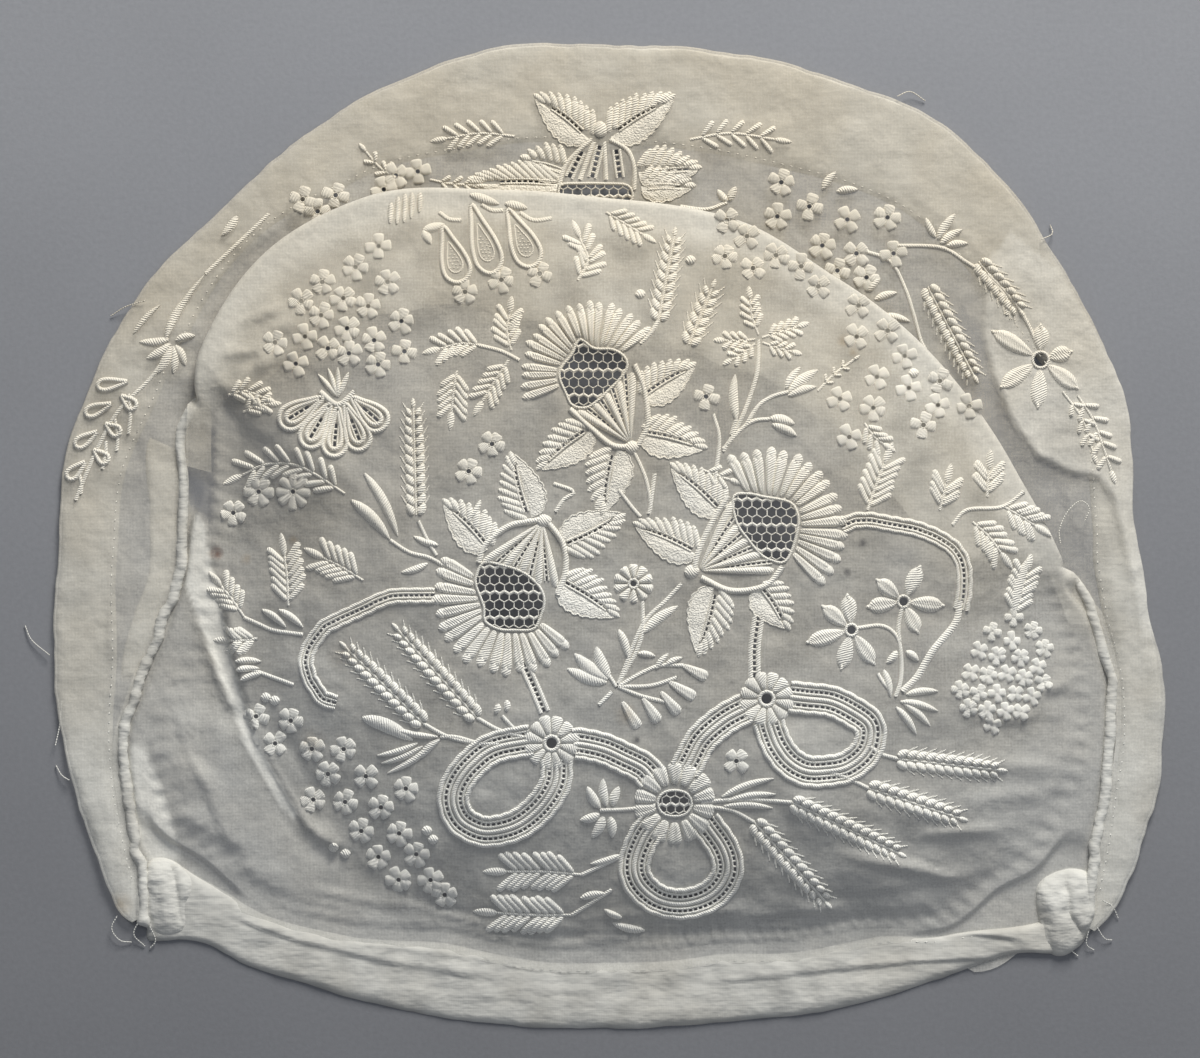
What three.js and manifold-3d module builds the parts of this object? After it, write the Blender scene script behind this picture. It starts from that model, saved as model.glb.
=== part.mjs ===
// An embroidered muslin cap, laid flat and collapsed with its outside up.
// Millimetres, +Z up. The origin is on the table, under the middle of the outline.
// +Y points to the face edge of the cap and -Y to its nape.

import * as THREE from "three";
import { mergeVertices } from "three/addons/utils/BufferGeometryUtils.js";
import Module from "manifold-3d";

// Driving dimensions
const CLOTH = 1.0; // thickness of a muslin wall
const GAP = 0.3; // clear space between neighbouring pieces
const PUFF_TOP = 17; // height of the crown's mid-surface at its middle
const MIDDLE = { x: 4, y: -28 }; // the point that the sections below are measured from
const FOLD_RADIUS = 1.5; // of the rolled fold at the top of the crown
const LEAST_TURN = 2.4; // length of cloth that turns at the crown's edge where nothing is rolled
const LEAST_TUCK = 1.2; // length of cloth past that turn
const TUCK_HEIGHT = 4.2; // height of the turned-back layer at its inner end
const NO_ROLL = 0; // a crown that turns back no further than this has no rolled fold
const FULL_ROLL = 6; // from here on the fold is fully rolled
const TUCK_BEGINS = 6; // below this the turned-back layer keeps its least length
const TUCK_WHOLE = 16; // from here on it has its whole length
const STEEPEST_TUCK = 0.5; // sine of the steepest slope of the turned-back layer
const SKIRT_SLOPE = 0.06; // how much the low cloth rises towards the puff's foot
const FOLD_CALM = 6; // how late the soft folds die out towards the puff's foot
const FACING_THICK = 1.0;
const FRONT_HEIGHT = FACING_THICK + GAP + CLOTH / 2; // mid-height of the front piece over the facing
const FRONT_INNER_HEIGHT = 2.5; // mid-height of the front piece under the tuck
const FRONT_ENDS = { from: -31, to: 209 }; // degrees, where the front piece ends at the nape
const LEFT_FOLD_END = { from: 138, to: 146 }; // degrees over which the top fold runs out at the left
const RIGHT_FOLD_END = { from: 14, to: 22 }; // and at the right
const UNDER_TUCK = 12; // a tuck this deep presses the front piece down over its whole inner edge
const RIPPLE = 0.5; // height of the front piece's soft waves
const RIPPLE_COUNT = 15; // waves in a whole turn
const RIPPLE_RISE = 0.3; // share of the width where the waves reach their height
const RIPPLE_FALL = { from: 0.6, to: 0.95 }; // shares of the width over which they die out
const FRONT_LEVEL = 0.5; // share of the width where the front piece has come down to the facing
const FACING_ENDS = { from: -30, to: 208 }; // degrees
const HEM_THICK = 1.7;
const HEM_SWELL = 0.2; // how far the hem's middle stands over its edges
const TAPE_ENDS = { from: 156, to: 183 }; // degrees
const SEAM_WIDTH = 3.4;
const SEAM_HEIGHT = 3.2;
const SEAM_PITCH = 5.6; // along the seam from one gather to the next
const SEAM_WAIST = 0.84; // size of the seam between two gathers, against its size at one
const SEAM_FLAT = 0.75; // how far down the seam's round section is cut flat, against its radius
const PATCH_THICK = 2.2;
const PATCH_BEVEL = 0.4;
const NET_PITCH = 4.3; // from one net mesh to the next
const NET_HOLE = 1.55; // radius of a net mesh
const CUT_DEPTH = { below: 8, above: 5 }; // from the top of the puff, for the holes in the crown

// How finely the curved pieces are faceted
const CROWN_SECTIONS = 84;
const STRIP_STEP = 360 / CROWN_SECTIONS; // degrees between the sections of the flat strips
const HEM_SECTIONS = [50, 75]; // the crown sections where the nape hem begins and ends
const PUFF_RINGS = 8;
const SKIRT_RINGS = 2;
const TURN_RINGS = 3;
const TUCK_RINGS = 3;
const FRONT_RINGS = 5;
const SEAM_SIDES = 6;
const HOLE_SIDES = 6;
const PATCH_POINTS = 16;
const STRIP_SHARES = [0, 0.5, 1]; // of a flat strip's width, where it has points
const FOLD_FADE = 0.12; // share of a soft fold's length at each end that keeps one height

// One row for each section through the middle; angles run anticlockwise from +X.
// edge: out to the crown's edge, which is a seam, the top fold or the hem
// rim: out to the outline of the whole cap
// band: width of the facing inside the face edge
// tuck: how far the crown turns back under its top fold
// rise: height of the crown's edge
// skirt: width of the low cloth between the puff's foot and the crown's edge
// full: how squarely the puff stands up from its foot
const SECTIONS = [
  { deg: -33, edge: 113.5, rim: 136, band: 8, tuck: 0, rise: 1.8, skirt: 4, full: 2.6 },
  { deg: -27, edge: 120, rim: 138.5, band: 10, tuck: 0, rise: 2.2, skirt: 4, full: 2.6 },
  { deg: -15, edge: 122.5, rim: 138, band: 12, tuck: 0, rise: 2.4, skirt: 4, full: 2.8 },
  { deg: -5, edge: 120, rim: 135.5, band: 12, tuck: 0, rise: 2.6, skirt: 4, full: 3 },
  { deg: 5, edge: 115, rim: 131.5, band: 12, tuck: 0, rise: 3.6, skirt: 4, full: 3 },
  { deg: 10, edge: 112.5, rim: 131, band: 12, tuck: 2, rise: 5.6, skirt: 4, full: 3.2 },
  { deg: 15, edge: 110.5, rim: 132, band: 11, tuck: 20, rise: 7.2, skirt: 4, full: 3.4 },
  { deg: 25, edge: 107.5, rim: 139, band: 13, tuck: 26, rise: 7.6, skirt: 4, full: 4 },
  { deg: 40, edge: 106.5, rim: 145, band: 19, tuck: 29, rise: 8, skirt: 4, full: 4 },
  { deg: 60, edge: 107, rim: 153.5, band: 24, tuck: 28, rise: 8, skirt: 4, full: 4 },
  { deg: 75, edge: 111, rim: 152, band: 26, tuck: 34, rise: 8, skirt: 4, full: 4 },
  { deg: 90, edge: 112.5, rim: 151.2, band: 25, tuck: 35, rise: 8, skirt: 4, full: 4 },
  { deg: 105, edge: 119, rim: 154, band: 24, tuck: 34, rise: 8, skirt: 4, full: 4 },
  { deg: 120, edge: 130.5, rim: 152, band: 17, tuck: 31, rise: 8, skirt: 4, full: 4 },
  { deg: 132, edge: 134, rim: 149.5, band: 16, tuck: 22, rise: 7.5, skirt: 4, full: 4 },
  { deg: 145, edge: 130, rim: 150.5, band: 16, tuck: 14, rise: 7.2, skirt: 7, full: 4 },
  { deg: 152, edge: 122, rim: 149.5, band: 17, tuck: 0, rise: 4.6, skirt: 9, full: 4 },
  { deg: 160, edge: 115, rim: 148.5, band: 16, tuck: 0, rise: 3.5, skirt: 9, full: 4 },
  { deg: 170, edge: 111, rim: 144, band: 15, tuck: 0, rise: 2.8, skirt: 6, full: 3.5 },
  { deg: 180, edge: 114, rim: 143, band: 16, tuck: 0, rise: 2.5, skirt: 12, full: 3 },
  { deg: 190, edge: 125, rim: 143, band: 13, tuck: 0, rise: 2.3, skirt: 28, full: 3 },
  { deg: 200, edge: 128, rim: 142, band: 9, tuck: 0, rise: 2.2, skirt: 38, full: 3 },
  { deg: 207, edge: 120, rim: 143, band: 8, tuck: 0, rise: 2, skirt: 32, full: 3 },
  { deg: 214, edge: 115, rim: 130, band: 8, tuck: 0, rise: 1.6, skirt: 26, full: 3 },
  { deg: 225, edge: 101.5, rim: 117, band: 8, tuck: 0, rise: 1.5, skirt: 14, full: 2.7 },
  { deg: 240, edge: 86, rim: 105, band: 8, tuck: 0, rise: 1.5, skirt: 5, full: 2.4 },
  { deg: 255, edge: 81.5, rim: 97.5, band: 8, tuck: 0, rise: 1.5, skirt: 4, full: 2.3 },
  { deg: 270, edge: 79, rim: 94.8, band: 8, tuck: 0, rise: 1.5, skirt: 4, full: 2.3 },
  { deg: 285, edge: 80, rim: 96.5, band: 8, tuck: 0, rise: 1.5, skirt: 4, full: 2.3 },
  { deg: 300, edge: 88, rim: 104, band: 8, tuck: 0, rise: 1.5, skirt: 4, full: 2.4 },
  { deg: 311, edge: 96, rim: 111.5, band: 8, tuck: 0, rise: 1.5, skirt: 4, full: 2.5 },
  { deg: 320, edge: 110, rim: 121, band: 8, tuck: 0, rise: 1.6, skirt: 4, full: 2.6 },
];

// The gathered seams between the crown and the front piece, as sections through the middle
const LEFT_SEAM = [
  { deg: 153, radius: 123.5 },
  { deg: 160, radius: 117 },
  { deg: 170, radius: 113 },
  { deg: 176, radius: 115 },
  { deg: 184, radius: 121.5 },
  { deg: 191, radius: 128 },
  { deg: 198, radius: 130.5 },
  { deg: 205, radius: 133 },
  { deg: 210, radius: 138 },
];
const RIGHT_SEAM = [
  { deg: -31.5, radius: 133.5 },
  { deg: -26, radius: 129.5 },
  { deg: -15, radius: 124.5 },
  { deg: -5, radius: 122 },
  { deg: 5, radius: 117 },
  { deg: 10, radius: 114.5 },
];

// The seam allowance that lies outside the left seam
const LEFT_TAPE = [
  { deg: 156, outer: 130 },
  { deg: 164, outer: 123.5 },
  { deg: 171, outer: 120.5 },
  { deg: 176, outer: 123 },
  { deg: 183, outer: 126 },
];

// Soft folds in the crown: each runs from one point to another and stands up or sinks
const FOLDS = [
  { x0: -118, y0: -50, x1: -80, y1: -84, width: 5, height: 1.6 },
  { x0: -116, y0: -40, x1: -72, y1: -60, width: 6, height: 1.4 },
  { x0: -100, y0: -28, x1: -70, y1: -80, width: 6, height: -1.2 },
  { x0: 48, y0: -66, x1: 104, y1: -72, width: 5, height: 1.8 },
  { x0: 30, y0: -84, x1: 84, y1: -84, width: 5, height: 1.6 },
  { x0: 60, y0: -56, x1: 112, y1: -46, width: 6, height: -1.6 },
  { x0: -60, y0: -90, x1: 10, y1: -98, width: 5, height: 1.4 },
  { x0: -98, y0: 34, x1: -60, y1: 10, width: 8, height: 1.4 },
  { x0: -60, y0: 40, x1: -20, y1: 62, width: 9, height: -1.4 },
  { x0: 20, y0: 60, x1: 60, y1: 40, width: 9, height: -1.4 },
];

// Net windows in the crown, and the one of the front piece: middle, size and turn
const CROWN_NETS = [
  { x: -4, y: 40.5, wide: 17, tall: 15, turn: -20 },
  { x: -24.5, y: -14.5, wide: 17, tall: 16, turn: 30 },
  { x: 38.5, y: 2.5, wide: 16, tall: 19, turn: 15 },
  { x: 16.5, y: -66, wide: 10, tall: 7, turn: 0 },
];
const FRONT_NET = { x: -2.5, y: 83.5, wide: 17, tall: 12, turn: 0 };

// Eyelets at the hearts of the knots and flowers
const CROWN_EYELETS = [
  { x: -14.5, y: -51.5, radius: 1.8 },
  { x: 39, y: -40, radius: 1.6 },
  { x: 73, y: -16.5, radius: 1.1 },
  { x: 60, y: -23.5, radius: 1.3 },
  { x: 6, y: -11.5, radius: 0.9 },
  { x: 31.5, y: -56, radius: 0.9 },
];
const FRONT_EYELET = { x: 108, y: 44.5, radius: 1.1 };

// Outlines of the doubled cloth at the lower corners
const LEFT_PATCH = [
  { x: -112.4, y: -82.5 },
  { x: -102.6, y: -83.5 },
  { x: -102.6, y: -97.5 },
  { x: -110, y: -99.6 },
  { x: -113.6, y: -93 },
];
const RIGHT_PATCH = [
  { x: 110.5, y: -84 },
  { x: 114.5, y: -85.5 },
  { x: 116, y: -95 },
  { x: 112, y: -104.5 },
  { x: 105, y: -101 },
  { x: 106.5, y: -93 },
];

const wasm = await Module();
wasm.setup();

// Smooth curve through the rows of a table, by its angle column; it doesn't overshoot
function columnCurve(rows, name, closed) {
  let knots = rows.map((row) => ({ at: row.deg, value: row[name] }));
  if (closed) {
    const turned = (knot, by) => ({ at: knot.at + by, value: knot.value });
    const before = knots.slice(-2).map((knot) => turned(knot, -360));
    const after = knots.slice(0, 2).map((knot) => turned(knot, 360));
    knots = [...before, ...knots, ...after];
  }
  const steps = knots.slice(1).map((knot, i) => {
    return (knot.value - knots[i].value) / (knot.at - knots[i].at);
  });
  const slopes = knots.map((_, i) => {
    const [left, right] = [steps[i - 1], steps[i]];
    if (left === undefined || right === undefined || left * right <= 0) return 0;
    return (2 * left * right) / (left + right);
  });
  const [first, last] = [knots[0].at, knots.at(-1).at];
  return (deg) => {
    const lowest = rows[0].deg;
    const wrapped = closed ? lowest + ((((deg - lowest) % 360) + 360) % 360) : deg;
    const at = Math.min(Math.max(wrapped, first), last);
    const i = Math.max(0, Math.min(knots.findLastIndex((k) => k.at <= at), knots.length - 2));
    const span = knots[i + 1].at - knots[i].at;
    const t = (at - knots[i].at) / span;
    const rest = 1 - t;
    return (
      knots[i].value * rest * rest * (1 + 2 * t) +
      knots[i + 1].value * t * t * (3 - 2 * t) +
      slopes[i] * span * t * rest * rest -
      slopes[i + 1] * span * t * t * rest
    );
  };
}

const edgeAt = columnCurve(SECTIONS, "edge", true);
const rimAt = columnCurve(SECTIONS, "rim", true);
const bandAt = columnCurve(SECTIONS, "band", true);
const tuckAt = columnCurve(SECTIONS, "tuck", true);
const riseAt = columnCurve(SECTIONS, "rise", true);
const skirtAt = columnCurve(SECTIONS, "skirt", true);
const fullAt = columnCurve(SECTIONS, "full", true);
const leftSeamAt = columnCurve(LEFT_SEAM, "radius", false);
const rightSeamAt = columnCurve(RIGHT_SEAM, "radius", false);

const smooth = (low, high, value) => THREE.MathUtils.smoothstep(value, low, high);

// Point at an angle, a distance from the middle and a height
function spot(deg, radius, height) {
  const angle = THREE.MathUtils.degToRad(deg);
  return new THREE.Vector3(
    MIDDLE.x + radius * Math.cos(angle),
    MIDDLE.y + radius * Math.sin(angle),
    height,
  );
}

// Height that the soft folds add at a point
function foldHeight(x, y) {
  let sum = 0;
  for (const fold of FOLDS) {
    const along = new THREE.Vector2(fold.x1 - fold.x0, fold.y1 - fold.y0);
    const from = new THREE.Vector2(x - fold.x0, y - fold.y0);
    const length = along.length();
    const t = THREE.MathUtils.clamp(from.dot(along) / (length * length), 0, 1);
    const away = from.addScaledVector(along, -t).length();
    const fade = Math.sin(Math.PI * THREE.MathUtils.clamp(t, FOLD_FADE, 1 - FOLD_FADE));
    sum += fold.height * fade * Math.exp(-((away / fold.width) ** 2));
  }
  return sum;
}

// Numbers from 0 to 1 in equal steps, without the first
const fractions = (count) => Array.from({ length: count }, (_, i) => (i + 1) / count);

// Closed solid between an upper and a lower grid of points; rows of one point are a pole
function solidBetween(upper, lower, closed) {
  const positions = [];
  const faces = [];
  const number = (grid) => {
    return grid.map((row) => row.map((p) => positions.push(p.x, p.y, p.z) / 3 - 1));
  };
  const [top, bottom] = [number(upper), number(lower)];
  const quad = (a, b, c, d) => faces.push(a, b, c, a, c, d);
  const columns = upper.at(-1).length;
  const spans = closed ? columns : columns - 1;
  for (let i = 0; i + 1 < upper.length; i++) {
    for (let j = 0; j < spans; j++) {
      const next = (j + 1) % columns;
      if (upper[i].length === 1) {
        faces.push(top[i][0], top[i + 1][j], top[i + 1][next]);
        faces.push(bottom[i][0], bottom[i + 1][next], bottom[i + 1][j]);
      } else {
        quad(top[i][j], top[i + 1][j], top[i + 1][next], top[i][next]);
        quad(bottom[i][j], bottom[i][next], bottom[i + 1][next], bottom[i + 1][j]);
      }
    }
  }
  const last = upper.length - 1;
  for (let j = 0; j < spans; j++) {
    const next = (j + 1) % columns;
    quad(top[last][j], bottom[last][j], bottom[last][next], top[last][next]);
    if (upper[0].length > 1) quad(top[0][next], bottom[0][next], bottom[0][j], top[0][j]);
  }
  if (!closed) {
    for (let i = 0; i < last; i++) {
      const end = columns - 1;
      quad(top[i][0], bottom[i][0], bottom[i + 1][0], top[i + 1][0]);
      quad(top[i + 1][end], bottom[i + 1][end], bottom[i][end], top[i][end]);
    }
  }
  return facingOut(positions, faces);
}

// Geometry with its faces turned outwards
function facingOut(positions, faces) {
  const at = (i) => new THREE.Vector3().fromArray(positions, faces[i] * 3);
  let volume = 0;
  for (let i = 0; i < faces.length; i += 3) {
    volume += at(i).dot(at(i + 1).cross(at(i + 2)));
  }
  const turned = volume < 0 ? [...faces].reverse() : faces;
  const geometry = new THREE.BufferGeometry();
  geometry.setAttribute("position", new THREE.Float32BufferAttribute(positions, 3));
  geometry.setIndex(turned);
  return geometry;
}

// A wall of cloth: the middle surface moved half a thickness to both sides
function clothSolid(middle, thickness, closed) {
  const last = middle.length - 1;
  const columns = middle.at(-1).length;
  const point = (i, j) => {
    const row = middle[THREE.MathUtils.clamp(i, 0, last)];
    if (row.length === 1) return row[0];
    return closed ? row[(j + columns) % columns] : row[THREE.MathUtils.clamp(j, 0, columns - 1)];
  };
  const shifted = (side) =>
    middle.map((row, i) =>
      row.map((p, j) => {
        const across = point(i + 1, j).clone().sub(point(i - 1, j));
        const along = point(i, j + 1).clone().sub(point(i, j - 1));
        const normal = row.length === 1 ? new THREE.Vector3(0, 0, 1) : across.cross(along);
        return p.clone().addScaledVector(normal.normalize(), (side * thickness) / 2);
      }),
    );
  return solidBetween(shifted(1), shifted(-1), closed);
}

const toManifold = (geometry) => {
  const bare = new THREE.BufferGeometry();
  bare.setAttribute("position", geometry.getAttribute("position"));
  bare.setIndex(geometry.getIndex());
  const merged = mergeVertices(bare);
  return new wasm.Manifold(
    new wasm.Mesh({
      numProp: 3,
      vertProperties: merged.attributes.position.array,
      triVerts: new Uint32Array(merged.index.array),
    }),
  );
};

// Upright hole, from one height to another
function holeCutter({ x, y, radius }, from, to) {
  const rod = new THREE.CylinderGeometry(radius, radius, to - from, HOLE_SIDES);
  rod.rotateX(Math.PI / 2);
  rod.translate(x, y, (from + to) / 2);
  return rod;
}

// Geometry with upright holes cut through it, between two heights
function pierced(geometry, holes, from, to) {
  let solid = toManifold(geometry);
  for (const hole of holes) {
    solid = solid.subtract(toManifold(holeCutter(hole, from, to)));
  }
  const mesh = solid.getMesh();
  const result = new THREE.BufferGeometry();
  const positions = new THREE.Float32BufferAttribute(mesh.vertProperties, mesh.numProp);
  result.setAttribute("position", positions);
  result.setIndex(Array.from(mesh.triVerts));
  return result;
}

// Staggered rows of meshes inside an oval net window
function netHoles({ x, y, wide, tall, turn }) {
  const holes = [];
  const rowPitch = NET_PITCH * Math.sin(Math.PI / 3);
  const rows = Math.floor(tall / 2 / rowPitch);
  const across = Math.ceil(wide / 2 / NET_PITCH);
  const heading = THREE.MathUtils.degToRad(turn);
  for (let row = -rows; row <= rows; row++) {
    for (let place = -across; place <= across; place++) {
      const u = (place + (row % 2 ? 0.5 : 0)) * NET_PITCH;
      const v = row * rowPitch;
      const inside = (u / (wide / 2)) ** 2 + (v / (tall / 2)) ** 2 <= 1;
      if (!inside) continue;
      const spotX = x + u * Math.cos(heading) - v * Math.sin(heading);
      const spotY = y + u * Math.sin(heading) + v * Math.cos(heading);
      holes.push({ x: spotX, y: spotY, radius: NET_HOLE });
    }
  }
  return holes;
}

// One section of the crown's middle surface, from the pole out and round its edge
function crownSection(deg) {
  const tuck = tuckAt(deg);
  const rolled = smooth(NO_ROLL, FULL_ROLL, tuck);
  const turn = Math.max(rolled * Math.PI * FOLD_RADIUS, LEAST_TURN);
  const rolledReach = FOLD_RADIUS + CLOTH / 2;
  const brink = edgeAt(deg) - THREE.MathUtils.lerp(LEAST_TURN + LEAST_TUCK, rolledReach, rolled);
  const foot = brink - skirtAt(deg);
  const rise = riseAt(deg);
  const footHeight = rise + SKIRT_SLOPE * skirtAt(deg);
  const points = [];
  for (const f of fractions(PUFF_RINGS)) {
    const height = footHeight + (PUFF_TOP - footHeight) * (1 - f ** fullAt(deg));
    const here = spot(deg, f * foot, height);
    here.z += foldHeight(here.x, here.y) * (1 - f ** FOLD_CALM);
    points.push(here);
  }
  for (const f of fractions(SKIRT_RINGS)) {
    const here = spot(deg, foot + f * (brink - foot), THREE.MathUtils.lerp(footHeight, rise, f));
    here.z += Math.max(foldHeight(here.x, here.y), 0) * (1 - f) * (1 - rolled);
    points.push(here);
  }
  const length = THREE.MathUtils.lerp(LEAST_TUCK, tuck, smooth(TUCK_BEGINS, TUCK_WHOLE, tuck));
  const drop = Math.max(rise - 2 * FOLD_RADIUS - TUCK_HEIGHT, 0);
  const whole = Math.PI - Math.asin(Math.min(drop / length, STEEPEST_TUCK));
  let heading = 0;
  let radius = brink;
  let height = rise;
  const advance = (step) => {
    radius += step * Math.cos(heading);
    height -= step * Math.sin(heading);
    points.push(spot(deg, radius, height));
  };
  for (let ring = 0; ring < TURN_RINGS; ring++) {
    const share = ring === 0 ? 1 / 2 : 1;
    heading += (share * rolled * whole) / TURN_RINGS;
    advance(turn / TURN_RINGS);
  }
  heading = rolled * whole;
  for (let ring = 0; ring < TUCK_RINGS; ring++) {
    advance(length / TUCK_RINGS);
  }
  return points;
}

function makeCrown() {
  const sections = Array.from({ length: CROWN_SECTIONS }, (_, j) => {
    return crownSection((j * 360) / CROWN_SECTIONS);
  });
  const rings = sections[0].map((_, i) => sections.map((section) => section[i]));
  const pole = [[spot(0, 0, PUFF_TOP)]];
  const wall = clothSolid([...pole, ...rings], CLOTH, true);
  const holes = [...CROWN_NETS.flatMap(netHoles), ...CROWN_EYELETS];
  return pierced(wall, holes, PUFF_TOP - CUT_DEPTH.below, PUFF_TOP + CUT_DEPTH.above);
}

// Angles from one end of a strip to the other
function stripAngles(from, to) {
  const count = Math.round((to - from) / STRIP_STEP);
  return Array.from({ length: count + 1 }, (_, i) => from + (i * (to - from)) / count);
}

// First clear distance outside a seam, or outside the crown's edge where the seam has ended
function besideSeam(deg) {
  const seam = deg > 90 ? leftSeamAt(deg) : rightSeamAt(deg);
  return Math.max(seam, edgeAt(deg) + SEAM_WIDTH / 2 + GAP) + SEAM_WIDTH / 2 + GAP;
}

// Inner edge of the front piece: outside the seams, and under the crown's top fold
function frontInner(deg) {
  const left = smooth(LEFT_FOLD_END.from, LEFT_FOLD_END.to, deg);
  const right = 1 - smooth(RIGHT_FOLD_END.from, RIGHT_FOLD_END.to, deg);
  const under = edgeAt(deg) - tuckAt(deg);
  const slack = CLOTH / 2;
  return THREE.MathUtils.lerp(under, besideSeam(deg) + slack, Math.max(left, right));
}

function makeFrontPiece() {
  const angles = stripAngles(FRONT_ENDS.from, FRONT_ENDS.to);
  const rows = [0, ...fractions(FRONT_RINGS)].map((f) =>
    angles.map((deg) => {
      const inner = frontInner(deg);
      const radius = THREE.MathUtils.lerp(inner, rimAt(deg) - GAP, f);
      const tucked = smooth(0, UNDER_TUCK, tuckAt(deg));
      const start = THREE.MathUtils.lerp(FRONT_HEIGHT, FRONT_INNER_HEIGHT, tucked);
      const height = THREE.MathUtils.lerp(start, FRONT_HEIGHT, smooth(0, FRONT_LEVEL, f));
      const free = smooth(0, RIPPLE_RISE, f) * (1 - smooth(RIPPLE_FALL.from, RIPPLE_FALL.to, f));
      const wave = RIPPLE * free * (1 + Math.sin(THREE.MathUtils.degToRad(deg * RIPPLE_COUNT)));
      return spot(deg, radius, height + wave);
    }),
  );
  const wall = clothSolid(rows, CLOTH, false);
  return pierced(wall, [...netHoles(FRONT_NET), FRONT_EYELET], GAP / 2, FRONT_INNER_HEIGHT + CLOTH);
}

// Flat-bottomed strip on the table, between two curves
function makeStrip({ from, to }, innerAt, outerAt, thickness, swell) {
  const angles = stripAngles(from, to);
  const grid = (heightAt) =>
    STRIP_SHARES.map((f) =>
      angles.map((deg) => {
        return spot(deg, THREE.MathUtils.lerp(innerAt(deg), outerAt(deg), f), heightAt(deg, f));
      }),
    );
  const puffed = (_, f) => thickness + swell * Math.sin(Math.PI * f);
  return solidBetween(grid(puffed), grid(() => 0), false);
}

function makeFacing() {
  const inner = (deg) => Math.max(rimAt(deg) - bandAt(deg), besideSeam(deg));
  return makeStrip(FACING_ENDS, inner, (deg) => rimAt(deg) - GAP, FACING_THICK, 0);
}

function makeNapeHem() {
  const inner = (deg) => edgeAt(deg) + GAP;
  const [from, to] = HEM_SECTIONS.map((section) => section * STRIP_STEP);
  return makeStrip({ from, to }, inner, rimAt, HEM_THICK, HEM_SWELL);
}

function makeLeftTape() {
  const outer = columnCurve(LEFT_TAPE, "outer", false);
  const inner = (deg) => leftSeamAt(deg) + SEAM_WIDTH / 2 + GAP;
  return makeStrip(TAPE_ENDS, inner, outer, CLOTH, 0);
}

// A rope of gathers that lies on the table along a seam
function makeSeam(rows, radiusAt) {
  const [from, to] = [rows[0].deg, rows.at(-1).deg];
  const middle = rows.reduce((sum, row) => sum + row.radius, 0) / rows.length;
  const length = THREE.MathUtils.degToRad(to - from) * middle;
  const steps = 2 * Math.round(length / SEAM_PITCH);
  const positions = [];
  const faces = [];
  for (let i = 0; i <= steps; i++) {
    const deg = from + ((to - from) * i) / steps;
    const size = i % 2 ? 1 : SEAM_WAIST;
    for (let k = 0; k < SEAM_SIDES; k++) {
      const round = -Math.PI / 2 + Math.PI / SEAM_SIDES + (k * 2 * Math.PI) / SEAM_SIDES;
      const out = (Math.cos(round) * size * SEAM_WIDTH) / 2;
      const up = Math.max(Math.sin(round) * size, -SEAM_FLAT) * (SEAM_HEIGHT / 2);
      const point = spot(deg, radiusAt(deg) + out, up + (SEAM_FLAT * SEAM_HEIGHT * size) / 2);
      point.z = k === 0 || k === SEAM_SIDES - 1 ? 0 : point.z;
      positions.push(point.x, point.y, point.z);
    }
  }
  for (let i = 0; i < steps; i++) {
    for (let k = 0; k < SEAM_SIDES; k++) {
      const [a, b] = [i * SEAM_SIDES + k, i * SEAM_SIDES + ((k + 1) % SEAM_SIDES)];
      faces.push(a, b, b + SEAM_SIDES, a, b + SEAM_SIDES, a + SEAM_SIDES);
    }
  }
  for (let k = 1; k + 1 < SEAM_SIDES; k++) {
    const end = steps * SEAM_SIDES;
    faces.push(0, k + 1, k, end, end + k, end + k + 1);
  }
  return facingOut(positions, faces);
}

// A flat wad of doubled cloth with a rounded outline
function makePatch(points) {
  const curve = new THREE.CatmullRomCurve3(
    points.map((p) => new THREE.Vector3(p.x, p.y, 0)),
    true,
  );
  const outline = new THREE.Shape(curve.getPoints(PATCH_POINTS).map((p) => new THREE.Vector2(p.x, p.y)));
  const geometry = new THREE.ExtrudeGeometry(outline, {
    depth: PATCH_THICK - 2 * PATCH_BEVEL,
    bevelEnabled: true,
    bevelThickness: PATCH_BEVEL,
    bevelSize: PATCH_BEVEL,
    bevelOffset: -PATCH_BEVEL,
    bevelSegments: 1,
    steps: 1,
  });
  geometry.translate(0, 0, PATCH_BEVEL);
  geometry.deleteAttribute("normal");
  geometry.deleteAttribute("uv");
  return mergeVertices(geometry, 1e-4);
}

const clothColour = (colour) =>
  new THREE.MeshStandardMaterial({ color: colour, roughness: 0.9, metalness: 0 });
const muslin = clothColour(0xd9d5c8);
const cotton = clothColour(0xe2dccd);
const doubled = clothColour(0xe9e5da);

const cap = new THREE.Group();
const pieces = [
  ["crown", makeCrown(), muslin],
  ["front_piece", makeFrontPiece(), muslin],
  ["front_facing", makeFacing(), cotton],
  ["nape_hem", makeNapeHem(), cotton],
  ["side_seam_left", makeSeam(LEFT_SEAM, leftSeamAt), doubled],
  ["side_seam_right", makeSeam(RIGHT_SEAM, rightSeamAt), doubled],
  ["seam_tape_left", makeLeftTape(), cotton],
  ["corner_patch_left", makePatch(LEFT_PATCH), doubled],
  ["corner_patch_right", makePatch(RIGHT_PATCH), doubled],
];
for (const [name, geometry, material] of pieces) {
  const mesh = new THREE.Mesh(geometry, material);
  mesh.name = name;
  cap.add(mesh);
}

export default cap;
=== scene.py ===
# %% [markdown]
# # An embroidered muslin cap, laid flat
# This lesson dresses a plain model of a worn cap: sheer muslin, cotton bands, gathered seams
# and white embroidery with openwork. The plain solids are loaded first and fix every size.

# %% Load the built model
import math

import bmesh
import bpy
import numpy as np
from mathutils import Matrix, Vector, geometry


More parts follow.
